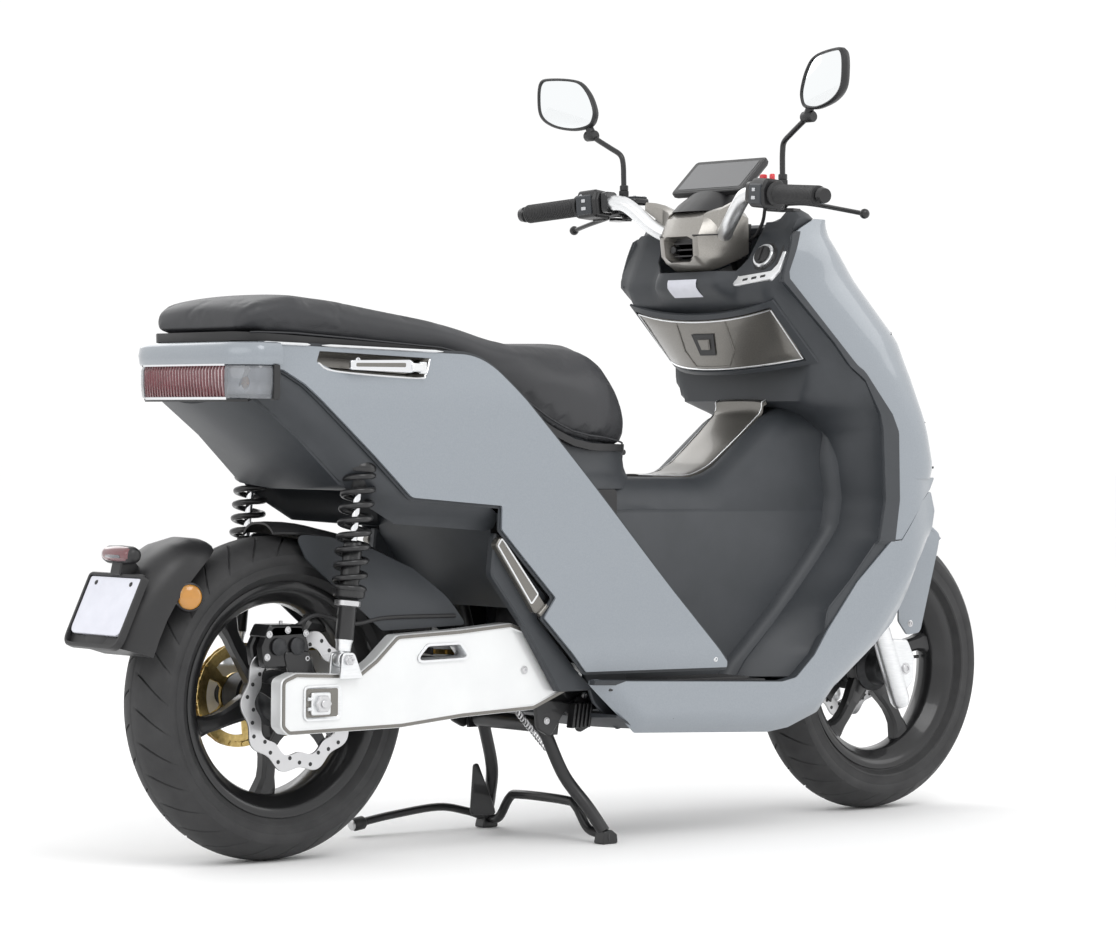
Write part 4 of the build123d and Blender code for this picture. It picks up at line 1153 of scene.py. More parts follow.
# ---- body panels --------------------------------------------------------------------------
def side_y(x, z):
    """How far out the painted side stands."""
    base = 163 + (x + 142) * 0.046
    lean = 20 * smooth(z, 740, 832) + 6 * smooth(330 - z, 0, 40)
    swell = 5 * sin(pi * smooth(z, 420, 830))
    return base - lean + swell


SIDE_LINE = [
    (-120, 829), (214, 822), (313, 820), (705, 428), (833, 303), (834, 293),
    (522, 295), (428, 388), (452, 421), (336, 535), (335, 574), (153, 588), (77, 657), (-51, 768),
             (-86, 789),
    (-120, 795),
]
SIDE_ROUND = [2, 4, 115, 20, 4, 3, 6, 4, 4, 6, 4, 20, 20, 20, 10, 2]
POCKET = [(-20, 803), (-12, 820), (204, 813), (190, 784), (166, 779), (14, 787)]


def side_panels():
    """The painted side panels with their dark lower lips."""
    outline = rounded(SIDE_LINE, SIDE_ROUND, 9)

    def skin_point(u, v):
        return (u, -side_y(u, v), v)

    skin("side_panels_skin", outline, skin_point, "chassis", "paint", 4, 20, ["side_panels"], [POCKET])

    def lip_point(u, v):
        return (u, -side_y(u, v) + 5, v)

    grown = shrink(outline, -5)
    skin("side_panel_lips", grown, lip_point, "chassis", "satin_plastic", 3, 26, (), [shrink(POCKET, -3)])
    handle_pockets()
    screws = Shape()
    for x, z in ((806, 308), (60, 806)):
        bolt(screws, x, -side_y(x, z) + 1, z, 4, -1)
    screws.mirrored()
    screws.make("panel_screws", "chassis", "silver")


def handle_pockets():
    """The dark pocket behind each grab handle, with a bright lip along its lower edge."""
    pocket = Shape()
    loops = []
    for amount, depth in ((-2, 3), (2, 10), (8, 24)):
        line = rounded(shrink(POCKET, amount), 5, 3)
        loops.append([(x, -side_y(x, z) + depth, z) for x, z in line])
    pocket.loft(loops, True, False)
    floor = rounded(shrink(POCKET, 8), 5, 3)
    pocket.loft([[(x, -side_y(x, z) + 24, z) for x, z in floor],
                 [(x, -side_y(x, z) + 26, z) for x, z in floor]])
    pocket.mirrored()
    pocket.make("handle_pockets", "chassis", "trim", sharp=50)
    lip = Shape()
    path = [(-18, 801), (14, 788), (166, 780), (188, 786), (202, 811)]
    path = [(x, -side_y(x, z) + 0.4, z) for x, z in path]
    lip.tube(spline(path, 8), 1.7, 8)
    lip.mirrored()
    lip.make("handle_pocket_lips", "chassis", "silver")


def grab_handles():
    """The fold-out grab handles."""
    for k, name in SIDES:
        bar = Shape()
        outline = rounded([(30, 791), (30, 806), (150, 809), (160, 803), (160, 790), (150, 788)], 4, 3)
        bar.prism(outline, k * 171, k * 178, 1.6)
        bar.make(f"grab_bar_{name}", f"grab_handle_{name}", "chrome", [f"grab_handle_{name}"], bevel=0.5)
        knuckle = Shape()
        knuckle.rod((176, k * 176, 787), (176, k * 176, 806), 7, 24, 1.2)
        knuckle.prism(rounded([(152, 790), (182, 790), (182, 803), (152, 804)], 4, 3), k * 170, k * 182, 2)
        knuckle.make(f"grab_knuckle_{name}", f"grab_handle_{name}", "silver", bevel=0.4)
        insert = Shape()
        insert.prism(rounded([(40, 796), (40, 802), (140, 804), (140, 797)], 2, 2), k * 177.6, k * 178.8,
                     0.4)
        insert.make(f"grab_insert_{name}", f"grab_handle_{name}", "trim")


def tail_plan():
    """The plan line of the tail, from the right side round to the left."""
    half = [(-96, -166), (-126, -165), (-142, -158), (-158, -138), (-170, -112), (-175, -60), (-176, 0)]
    line = half + [(x, -y) for x, y in reversed(half[:-1])]
    return [tuple(p)[:2] for p in spline([(x, y, 0) for x, y in line], 5)]


def tail():
    """The painted tail band, the tail lamp and the indicator at each end of it."""
    cowl = Shape()
    wrap(cowl, tail_plan(),
         [(-14, 796), (-2, 796), (0, 799), (2, 812), (0, 824), (-5, 830), (-16, 832), (-18, 826),
                             (-8, 820), (-8, 800)])
    cowl.make("tail_band", "chassis", "paint", sharp=50)
    lens = Shape()
    pts = tail_plan()
    middle = [p for p in pts if abs(p[1]) <= 112]
    ribs = []
    for i in range(113):
        y = -112 + 2 * i
        base = table_value(y, [(b, a) for a, b in middle])
        ribs.append((base + (1.6 if i % 4 < 2 else -0.4), y))
    wrap(lens, ribs, [(-22, 745), (-9, 744), (-6.5, 747), (-4, 766), (-3, 786), (-6, 795), (-22, 796)])
    lens.make("tail_lens", "chassis", "red_lens", ["tail_light"], sharp=30)
    strip = Shape()
    wrap(strip, middle, [(-4, 793), (-1.5, 794), (-1.5, 797), (-5, 797)])
    wrap(strip, middle, [(-10, 741), (-6, 741), (-5.5, 745), (-10, 745)])
    strip.make("tail_lens_strips", "chassis", "chrome")
    for k, name in SIDES:
        ends = [(a, b) for a, b in pts if 112 <= k * b <= 170 and a < -108]
        cover = Shape()
        wrap(cover, ends, [(-20, 744), (-7, 743), (-4, 746), (-2, 766), (-2, 788), (-5, 795), (-20, 796)])
        cover.make(f"indicator_lens_{name}", "chassis", "clear_lens", sharp=40)
        bowl = Shape()
        wrap(bowl, ends, [(-22, 748), (-9, 750), (-12, 770), (-9, 790), (-22, 792)])
        bowl.make(f"indicator_bowl_{name}", "chassis", "steel", sharp=20)
        bulb = Shape()
        bulb.ball((-146, k * 138, 768), 7, 8, 14, (1, 1, 1.4))
        bulb.make(f"indicator_bulb_{name}", "chassis", "amber_lens")
        bezel = Shape()
        x, y = ends[-1] if k > 0 else ends[0]
        bezel.prism(rounded([(x - 4, 740), (x + 8, 742), (x + 8, 796), (x - 4, 797)], 3, 3), y - k * 10,
                    y + k * 1.5, 1)
        bezel.make(f"indicator_edge_{name}", "chassis", "black_plastic", bevel=0.4)


def under_tail():
    """The dark undertray: two cheeks that roll in under the tail, and a roof over the wheel."""

    def cheek(u, v):
        low = table_value(u, [(-150, 746), (-120, 738), (-47, 686), (74, 583), (150, 545), (335, 532)])
        roll = 34 * (1 - smooth(v, low, low + 46)) + 7
        return (u, -(side_y(u, max(v, 700)) - roll - 1), v)

    outline = rounded(
        [(-152, 748), (-120, 739), (-47, 687), (74, 585), (150, 545), (335, 532), (350, 536), (350, 580),
         (160, 600), (88, 668), (-42, 782), (-86, 800), (-150, 800)],
        [6, 10, 30, 30, 14, 4, 3, 3, 20, 20, 20, 8, 3], 4)
    skin("under_tail_cheeks", outline, cheek, "chassis", "satin_plastic", 3, 14, ["under_tail"])
    roof = Shape()
    line = [(-150, 735), (-124, 717), (-47, 662), (40, 600), (90, 598), (330, 598), (346, 520), (440, 400)]
    rings = []
    for x, z in line:
        half = side_y(x, 700) - 40
        rise = 24 * (1 - smooth(x, -40, 90))
        ring = [(x, y, z + rise * abs(y / half) ** 1.7) for y in [half * (j / 8 - 1) for j in range(17)]]
        rings.append(ring + [(x, y, top + 5) for x, y, top in reversed(ring)])
    roof.loft(rings)
    roof.make("wheel_roof", "chassis", "satin_plastic", sharp=50)
    rear = Shape()
    band = [p for p in tail_plan() if abs(p[1]) < 150]
    wrap(rear, band, [(-26, 741), (-10, 738), (-8, 742), (-12, 747), (-26, 747)])
    wrap(rear, band, [(-26, 746), (-22, 746), (-22, 797), (-26, 797)])
    rear.make("tail_lower_lip", "chassis", "black_plastic", sharp=50)
    step = Shape()
    for k in (1, -1):
        inner = rounded([(338, 534), (452, 421), (430, 389), (520, 297), (560, 262), (480, 262), (404, 372),
                         (330, 460)], [6, 6, 6, 4, 6, 8, 20, 20], 4)
        step.prism(inner, k * 150, k * 168, 3)
    step.make("inner_corner_panels", "chassis", "satin_plastic", bevel=0.8)
    inner_walls = Shape()
    for k in (1, -1):
        wall = rounded([(330, 596), (350, 528), (452, 404), (500, 340), (610, 262), (640, 262), (640, 600)],
                       10, 4)
        inner_walls.prism(wall, k * 126, k * 131, 1.2)
    inner_walls.make("inner_wall_panels", "chassis", "black_plastic", bevel=0.8)


def footpegs():
    """Folded passenger pegs: a smooth taupe plate with a bright border and a pin at the lower end."""
    for k, name in SIDES:
        peg = Shape()
        outline = rounded([(330, 509), (342, 526), (440, 408), (431, 392), (415, 397)], [7, 7, 5, 4, 5], 4)
        peg.prism(outline, k * 163, k * 180, 2.2)
        peg.rod((423, k * 180, 392), (441, k * 180, 408), 5, 20, 1)
        peg.make(f"peg_{name}", f"footpeg_{name}", "trim", [f"footpeg_{name}"], bevel=0.5)
        border = Shape()
        loops = []
        frame_line = rounded([(332, 508.5), (342, 523), (423, 427), (407, 409)], [5, 5, 5, 5], 4)
        for amount, y in ((0, 179.6), (0, 180.8), (2.8, 180.8), (2.8, 179.6), (0, 179.6)):
            loops.append([(x, k * y, z) for x, z in shrink(frame_line, amount)])
        border.loft(loops, True, False)
        border.make(f"peg_border_{name}", f"footpeg_{name}", "silver")
        pad = Shape()
        for i in range(9):
            t = i / 8
            x, z = mix(346, 412, t), mix(508, 428, t)
            pad.prism(rounded([(x - 7, z - 4), (x - 4.5, z - 5.5), (x + 7, z + 4), (x + 4.5, z + 5.5)], 1,
                              2),
                      k * 161, k * 164, 0.6)
        pad.make(f"peg_ribs_{name}", f"footpeg_{name}", "rubber", bevel=0.3)


# ---- tunnel, leg shield, dash ----------------------------------------------------------------
RIDGE = [(254, 910), (298, 943), (397, 1053), (470, 1122), (531, 1176), (582, 1185), (696, 1163),
         (735, 1114),
         (757, 1061), (826, 1059), (832, 1054), (916, 965), (935, 950), (958, 942), (966, 943), (1058, 986)]
RIM = [(265, 996), (315, 1060), (386, 1074), (435, 1130), (508, 1200), (580, 1214), (706, 1206),
       (734, 1198),
       (795, 1158), (818, 1120), (860, 1078), (962, 953), (975, 953), (1058, 990)]


def shield_x(y, z):
    """The rear face of the leg shield: footwell, knee roof, dash."""
    start = mix(112, 172, smooth(z, 700, 800))
    t = smooth(abs(y), start, 208)
    x = mix(table_value(z, RIDGE), table_value(z, RIM), t)
    middle = 1 - smooth(abs(y), 74, 106)
    return x - 24 * middle * smooth(z, 925, 962)


def narrowing(z):
    """The painted shield draws in towards its top edge."""
    return 1 - 0.05 * smooth(z, 1010, 1090)


def leg_shield():
    """The dark shield in front of the rider's legs."""
    outline = [(-208, 268), (208, 268), (208, 1010), (202, 1048), (194, 1056), (152, 1058), (126, 1046),
               (118, 1004), (98, 982),
               (-98, 982), (-118, 1004), (-126, 1046), (-152, 1058), (-194, 1056), (-202, 1048),
               (-208, 1010)]
    inside = [(-100, 276), (100, 276), (100, 708), (-100, 708)]

    def face(u, v):
        return (shield_x(u, v), u, v)

    skin("leg_shield_face", rounded(outline, 7, 3), face, "chassis", "satin_plastic", 4, 11, ["leg_shield"],
         [inside], both=False, sharp=60)
    rim = Shape()
    for k in (1, -1):
        rings = []
        for z in range(272, 1053, 6):
            x = shield_x(207, z)
            front = max(x, rear_x(z)) + 9
            wide = k * narrowing(z)
            if z > 503:
                edge = min(x, rear_x(z))
                outer = [(edge - 2, wide * 211, z), (edge - 1, wide * 213.4, z), (front, wide * 213.4, z)]
            else:
                outer = [(x, k * 208.5, z), (mix(x, front, 0.6), k * 210.4, z), (front, k * 208.6, z)]
            rings.append([(x - 1, wide * 201, z), (x - 3.5, wide * 204, z), *outer, (front, wide * 203, z)])
        rim.loft(rings)
    rim.make("leg_shield_rim", "chassis", "satin_plastic", sharp=30)


def tunnel():
    """The raised tunnel between the seat and the shield, its shoulders, split line and cap."""
    top = [(560, 622), (869, 619), (900, 626), (930, 640), (1043, 727), (1100, 752), (1200, 756)]
    shape = Shape()
    stations = [560, 640, 720, 800, 850, 870, 885, 900, 915, 930, 955, 980, 1000, 1025, 1043, 1060, 1075,
                1100, 1150,
                1178]
    rings = []
    for x in stations:
        t = table_value(x, top)
        half = mix(120, 110, smooth(x, 560, 800))
        low = max(268, table_value(x, [(560, 272), (905, 268), (960, 310), (1053, 397), (1180, 520)]) - 30)
        ring = []
        for y, z in ((half + 1, low), (half + 1, 400), (half + 1, 555), (half - 1, 558), (half - 1, 561),
                     (half, 564), (half - 1, t - 56), (half - 4, t - 42), (half - 11, t - 26),
                     (half - 22, t - 12),
                     (half - 36, t - 4), (62, t), (56, t - 3), (0, t - 3)):
            ring.append((x, y, max(low, min(z, t))))
        rings.append(ring + [(x, -y, z) for x, y, z in reversed(ring[:-1])])
    shape.loft(rings, False, False)
    panel_from(shape, "tunnel_skin", "satin_plastic", ["floor_tunnel"], 4, (0, 0, 1))
    block = Shape()
    plan = [(470, 118), (540, 112), (600, 106), (650, 96), (690, 78), (720, 56), (740, 34), (752, 16),
            (756, 0)]
    plan = plan + [(x, -y) for x, y in reversed(plan[:-1])]
    loops = []
    for z, grow in ((600, 16), (616, 12), (624, 5), (636, 0), (650, -2)):
        loops.append([(x + grow * (x - 470) / 290, y * (1 + grow / 110), z) for x, y in plan])
    loops.append([(x, y * 0.98, table_value(x, SEAT_LOW) - 2 if x < 741 else 652) for x, y in plan])
    block.loft(loops)
    block.make("seat_pedestal", "chassis", "satin_plastic", sharp=50)
    fillet = Shape()
    for k in (1, -1):
        rings = []
        for z in range(272, 728, 8):
            x = table_value(z, RIDGE)
            size = 1 - 0.9 * smooth(z, 640, 726)
            ring = [(x + 3, k * 107, z)]
            for j in range(9):
                t = j / 8
                bulge = 5 * size * sin(pi * t)
                ring.append((x - 26 * size * (1 - t) - 0.66 * bulge,
                             k * (109.8 + 22 * size * t + 0.75 * bulge), z))
            rings.append(ring)
        fillet.loft(rings)
    fillet.make("footwell_edges", "chassis", "satin_plastic", sharp=60)
    cap = Shape()
    rings = []
    edge = Shape()
    borders = [[], []]
    for x, z, half in ((790, 622, 20), (800, 622, 44), (868, 622, 52), (900, 629, 53), (930, 643, 54),
                       (960, 665, 55), (1000, 696, 57), (1040, 729, 59), (1049, 742, 60), (1049, 753, 61),
                       (1057, 757, 62)):
        ring = []
        for j in range(13):
            s = -1 + j / 6
            ring.append((x, s * half, z + 2 - 3 * abs(s) ** 4))
        ring += [(x + 3, s * half, z - 7) for s in (1, -1)]
        rings.append(ring)
        borders[0].append((x, half - 1, z + 0.4))
        borders[1].append((x, 1 - half, z + 0.4))
    cap.loft(rings)
    cap.make("tunnel_cap", "chassis", "trim", sharp=40)
    for line in borders:
        edge.tube(spline(line, 5), 1.1, 8)
    edge.make("tunnel_cap_edges", "chassis", "silver")
    floor = Shape()
    for k in (1, -1):
        for i in range(9):
            y = k * (124 + i * 8.5)
            floor.prism(rounded([(620, 268), (892, 268), (896, 275), (620, 276)], 2, 2), y - 2.4, y + 2.4,
                        0.8)
        floor.prism(rounded([(560, 262), (925, 262), (925, 270), (560, 272)], 2, 2), k * 106, k * 204, 1)
    floor.make("floor_mats", "chassis", "rubber", bevel=0.4)


def door_point(u, v):
    """The glovebox door: u across, v from its top edge 0 to its lower edge 1."""
    t = 1 - (abs(u) / 178) ** 2.2
    x = mix(957, 1047, v) - t * mix(8, 62, v)
    z = mix(918, 829, v) - t * 20
    return Vector((x, u, z))


def glovebox():
    """The glovebox door with its edge, embossed line and latch."""
    shape = Shape()
    rows = []
    columns = [-172, -168, -150, -125, -100, -75, -50, -25, 0, 25, 50, 75, 100, 125, 150, 168, 172]
    for v in (0.02, 0.05, 0.2, 0.4, 0.6, 0.8, 0.95, 0.98):
        row = []
        for u in columns:
            inset = 10 * (1 - v)
            edge = 2.2 * (1 if abs(u) >= 172 or v in (0.02, 0.98) else 0)
            p = door_point(u * (1 + inset / 400), v)
            row.append(p + Vector((edge * 0.7, 0, edge * 0.7)))
        rows.append(row)
    back = [[p + Vector((5, 0, 5)) for p in row] for row in rows]
    shape.loft([row + list(reversed(rear)) for row, rear in zip(rows, back)])
    shape.make("door_skin", "glovebox_door", "trim", ["glovebox_door"], sharp=35)
    edge = Shape()
    border = [door_point(u, 0.03) for u in columns] + [door_point(172, v) for v in (0.2, 0.4, 0.6, 0.8)]
    border += [door_point(u, 0.97) for u in reversed(columns)] + [door_point(-172, v) for v in (0.8, 0.6,
                                                                                                0.4, 0.2)]
    border.append(border[0])
    edge.tube(border, 1.6, 8, False)
    edge.make("door_edge", "glovebox_door", "silver")
    emboss = Shape()
    points = [(-64, 0.06), (-64, 0.62), (-44, 0.92), (44, 0.92), (64, 0.62), (64, 0.06)]
    line = []
    for (ua, va), (ub, vb) in zip(points, points[1:]):
        for i in range(6):
            line.append(door_point(mix(ua, ub, i / 6), mix(va, vb, i / 6)) + Vector((-0.4, 0, -0.2)))
    line.append(door_point(*points[-1]))
    emboss.tube(line, 1.5, 8)
    emboss.make("door_emboss", "glovebox_door", "trim")
    recess = Shape()
    loops = []
    line = [(-26, 0.28), (26, 0.28), (18, 0.66), (-18, 0.66)]
    for grow, deep in ((1.14, -1.4), (1.06, -1.8), (0.96, 1), (0.8, 4)):
        loop = []
        for u, v in line:
            p = door_point(u * grow, 0.47 + (v - 0.47) * grow)
            loop.append(p + Vector((deep, 0, deep * 0.9)))
        loops.append(loop)
    recess.loft(loops)
    recess.make("latch_recess", "glovebox_door", "black_plastic", bevel=0.6, sharp=30)
    lever = Shape()
    loops = []
    for grow, deep in ((1, 0.8), (1, -2.6), (0.86, -3.6)):
        loop = []
        for u, v in ((-15, 0.36), (15, 0.36), (11, 0.56), (-11, 0.56)):
            p = door_point(u * grow, 0.46 + (v - 0.46) * grow)
            loop.append(p + Vector((deep, 0, deep * 0.9)))
        loops.append(loop)
    lever.loft(loops)
    lever.make("latch_lever", "glovebox_latch", "trim", ["glovebox_latch"], bevel=0.6, sharp=30)
    surround = Shape()
    loops = []
    for u_half, top_v, low_v, deep in ((186, -0.1, 1.1, 4), (186, -0.1, 1.1, 1), (176, -0.02, 1.02, -1),
                                       (174, 0.0, 1.0, 4)):
        loop = []
        for i in range(13):
            loop.append(door_point(u_half * (-1 + i / 6), top_v) + Vector((deep, 0, deep)))
        for i in range(13):
            loop.append(door_point(u_half * (1 - i / 6), low_v) + Vector((deep, 0, deep)))
        loops.append(loop)
    surround.loft(loops, True, False)
    surround.make("door_surround", "chassis", "satin_plastic", sharp=45)


def knob():
    """The start knob in its ring, above a silver band with three slots, and a blank label beside it."""
    face = Vector((-0.9, 0, 0.43)).normalized()
    origin = Vector((966, -158, 1004)) + face * 5
    turn = basis(origin, Vector((0, 1, 0)).cross(face), face) @ Matrix.Rotation(pi / 2, 4, "X")
    bezel = Shape()
    bezel.lathe([(28, -2), (28, 3), (26, 5), (23, 5), (21, 3), (19, -1)], 0, 0, 56)
    bezel.turned(turn)
    bezel.make("knob_bezel", "chassis", "black_plastic", sharp=35)
    ring_shape = Shape()
    ring_shape.lathe([(22.5, 2), (22.5, 9), (21, 11), (17.6, 11), (17, 4)], 0, 0, 56)
    ring_shape.turned(turn)
    ring_shape.make("knob_ring", "start_knob", "silver", ["start_knob"], sharp=35)
    cap = Shape()
    cap.lathe([(17, 2), (17, 13), (16, 15), (13, 16), (0.01, 16.2)], 0, 0, 48, False)
    cap.box((-13.5, 15, -2.6), (13.5, 19, 2.6), 1.2)
    cap.turned(turn)
    cap.make("knob_cap", "start_knob", "black_plastic", bevel=0.6)
    plate = Shape()
    outline = rounded([(-40, -36), (-27, 30), (-18, 38), (22, 38), (36, 20), (36, -10), (8, -28)],
                      [6, 8, 8, 14, 12, 12, 14], 5)
    plate.prism(outline, -6, 1.6, 0.8)
    plate.turned(turn)
    plate.make("knob_plate", "chassis", "black_plastic", bevel=0.5)
    band = Shape()
    outline = rounded([(-44, -66), (-55, -56), (-55, -44), (-46, 32), (-28, 48), (10, 48), (10, 40),
                       (-15, 38),
                       (-28, 28), (-36, -46), (-34, -60)], [5, 5, 6, 8, 8, 2, 2, 8, 8, 3, 3], 4)
    band.prism(outline, -6, 3.6, 1.2)
    band.turned(turn)
    band.make("knob_silver_band", "chassis", "silver", bevel=0.3)
    slots = Shape()
    for t in (0.2, 0.5, 0.8):
        x, z = mix(-46, -37, t), mix(-44, 26, t)
        slots.prism(rounded([(x - 3.4, z - 6), (x - 1.4, z + 6), (x + 3.4, z + 6), (x + 1.4, z - 6)], 1.6,
                            3), 3.2, 4.1, 0.3)
    slots.turned(turn)
    slots.make("knob_band_slots", "chassis", "black_plastic")
    label = Shape()
    rows = []
    for z in (943, 948, 953, 958, 963, 968):
        slope = (shield_x(0, z + 1) - shield_x(0, z - 1)) / 2
        out = Vector((-1, 0, slope)).normalized() * 5
        rows.append([Vector((shield_x(y, z), y, z)) + out for y in (46, 30, 14, -2, -18, -28)])
    label.loft(rows, False, False)
    panel_from(label, "blank_label", "plate_white", (), 0.6, (-1, 0, 0))


def front_x(z):
    """The nose line on the middle plane."""
    return table_value(z,
                       [(500, 1352), (579, 1366), (618, 1392), (640, 1402), (720, 1376), (868, 1320),
                        (990, 1190),
                           (1079, 1092)])


def rear_x(z):
    """The rear edge of the painted parts beside the leg shield."""
    return table_value(z,
                       [(265, 992), (309, 1036), (352, 1068), (436, 1142), (505, 1229), (580, 1240),
                        (702, 1236), (734, 1219), (810, 1147), (820, 1128), (968, 957),
                           (983, 955), (1047, 977), (1074, 1030), (1079, 1044)])


def nose_point(y, z, lift=0.0):
    """A point on the painted shield, seen from the front at y and z."""
    a = math.asin(min(1.0, (abs(y) / 212) ** (1 / 0.62)))
    rear = rear_x(z)
    return Vector((rear + (front_x(z) - rear) * cos(a) ** 0.5 + lift, y, z))


def front_panel():
    """The painted front shield, its cheeks, the top of the dash and the wheel liner."""
    rings = []
    for i in range(31):
        z = mix(618, 1076, i / 30)
        nose, rear = front_x(z), rear_x(z)
        ring = []
        for j in range(49):
            a = pi * (j / 48 - 0.5)
            y = -212 * math.copysign(abs(sin(a)) ** 0.62, -a)
            x = rear + (nose - rear) * abs(cos(a)) ** 0.5
            y *= narrowing(z)
            ring.append(Vector((x, y, z)))
        rings.append(ring)
    shape = Shape()
    shape.loft(rings, False, False)
    panel_from(shape, "front_shield", "paint", ["front_panel"], 4)

    def cheek(u, v):
        back = rear_x(v)
        lean = 26 * smooth(u, back + 20, 1372) ** 2
        return (u, -(212 - lean), v)

    line = rounded([(1230, 508), (1256, 509), (1318, 580), (1352, 598), (1368, 620), (1241, 620)],
                   [2, 4, 10, 14, 3, 2], 4)
    skin("shield_cheeks", line, cheek, "chassis", "paint", 4, 14)
    top = Shape()
    for k in (1, -1):
        loops = []
        for y in (122, 126, 135, 150, 162, 172, 180, 187, 192, 195):
            high = table_value(y,
                               [(122, 1058), (135, 1068), (150, 1082), (162, 1094), (180, 1094),
                                (195, 1078)])
            back = shield_x(y, 1044)
            front = 1084 - 34 * smooth(y, 158, 197)
            loops.append([(back + 6, k * y, 1030), (back, k * y, 1044), (back + 16, k * y, 1072),
                          (1008, k * y, high - 2),
                          (1020, k * y, high), (mix(1020, front, 0.5), k * y, mix(high, 1072, 0.35)),
                          (front, k * y, 1071), (front, k * y, 1052), (1010, k * y, 1030)])
        top.loft(loops)
    middle = [(1062, 1068), (1074, 1074), (1086, 1072), (1086, 1060), (1062, 1056)]
    top.loft([[(x, y, z) for x, z in middle] for y in (-124, -40, 40, 124)])
    top.make("dash_top", "chassis", "satin_plastic", bevel=1.5, sharp=30)
    liner = Shape()
    for k in (1, -1):
        wall = rounded([(1130, 400), (1232, 505), (1246, 620), (1330, 640), (1360, 620), (1300, 560),
                        (1180, 380)],
                       12, 3)
        liner.prism(wall, k * 176, k * 181, 1)
    rings = []
    for x, z in ((1222, 560), (1236, 596), (1266, 626), (1320, 640), (1376, 636)):
        rings.append([(x, y, z) for y in (-176, -90, 0, 90, 176)] + [(x + 1, y, z + 4) for y in (176, 90, 0,
                                                                                                 -90,
                                                                                                 -176)])
    liner.loft(rings)
    liner.make("front_wheel_liner", "chassis", "satin_plastic", sharp=40)


def panel_from(shape, name, look, replaces, thick, out=(1, 0, 0)):
    """Turns an open sheet into a panel with an inner face and a rim; out is the way it faces."""
    work = bmesh.new()
    verts = [work.verts.new(v) for v in shape.verts]
    for face in shape.faces:
        work.faces.new([verts[i] for i in face])
    bmesh.ops.remove_doubles(work, verts=work.verts, dist=0.05)
    bmesh.ops.recalc_face_normals(work, faces=work.faces)
    facing = sum((f.normal * f.calc_area() for f in work.faces), Vector())
    if facing.dot(Vector(out)) < 0:
        bmesh.ops.reverse_faces(work, faces=work.faces)
    thicken(work, thick)
    work.verts.index_update()
    shape.verts = [v.co.copy() for v in work.verts]
    shape.faces = [tuple(v.index for v in f.verts) for f in work.faces]
    work.free()
    return shape.make(name, "chassis", look, replaces, sharp=50)


def front_face():
    """Headlamp, light strip and front indicators, on the side that faces away."""
    lamp = Shape()
    rings = []
    steps = [-1 + j / 10 for j in range(21)]
    for i in range(9):
        z = mix(652, 716, i / 8)
        half = mix(66, 104, smooth(i, 0, 6))
        ring = [nose_point(s * half, z, 2.5) for s in steps]
        ring += [p - Vector((14, 0, 0)) for p in reversed(ring)]
        rings.append(ring)
    lamp.loft(rings)
    lamp.make("headlamp_glass", "chassis", "clear_lens", ["headlight"], sharp=35)
    bezel = Shape()
    line = [nose_point(s * 108, 719, 1.5) for s in steps] + [nose_point(-s * 70, 649, 1.5) for s in steps]
    bezel.tube(line + line[:1], 4.5, 10, False)
    bezel.make("headlamp_bezel", "chassis", "black_plastic")
    strip = Shape()
    for z, half in ((668, 60), (700, 84)):
        strip.tube([nose_point(s * half, z, 3.2) for s in steps], 2.6, 8)
    strip.make("headlamp_strips", "chassis", "silver")
    for k, name in SIDES:
        rings = []
        for t in (0, 0.08, 0.3, 0.6, 0.85, 1):
            y, z = k * mix(92, 150, t), mix(760, 790, t)
            tall = 9 * min(1, 0.25 + 4 * t, 0.25 + 4 * (1 - t))
            rings.append([nose_point(y, z - tall, -2), nose_point(y, z - tall * 0.7, 3),
                          nose_point(y, z + tall * 0.7, 3),
                          nose_point(y, z + tall, -2)])
        flash = Shape()
        flash.loft(rings)
        flash.make(f"front_indicator_{name}", "chassis", "amber_lens", sharp=40)
    seam = Shape()
    for z in (742, 900):
        seam.tube([nose_point(s * 188, z - 22 * s * s, 0.3) for s in steps], 1.1, 6)
    seam.make("front_shield_seams", "chassis", "black_plastic")


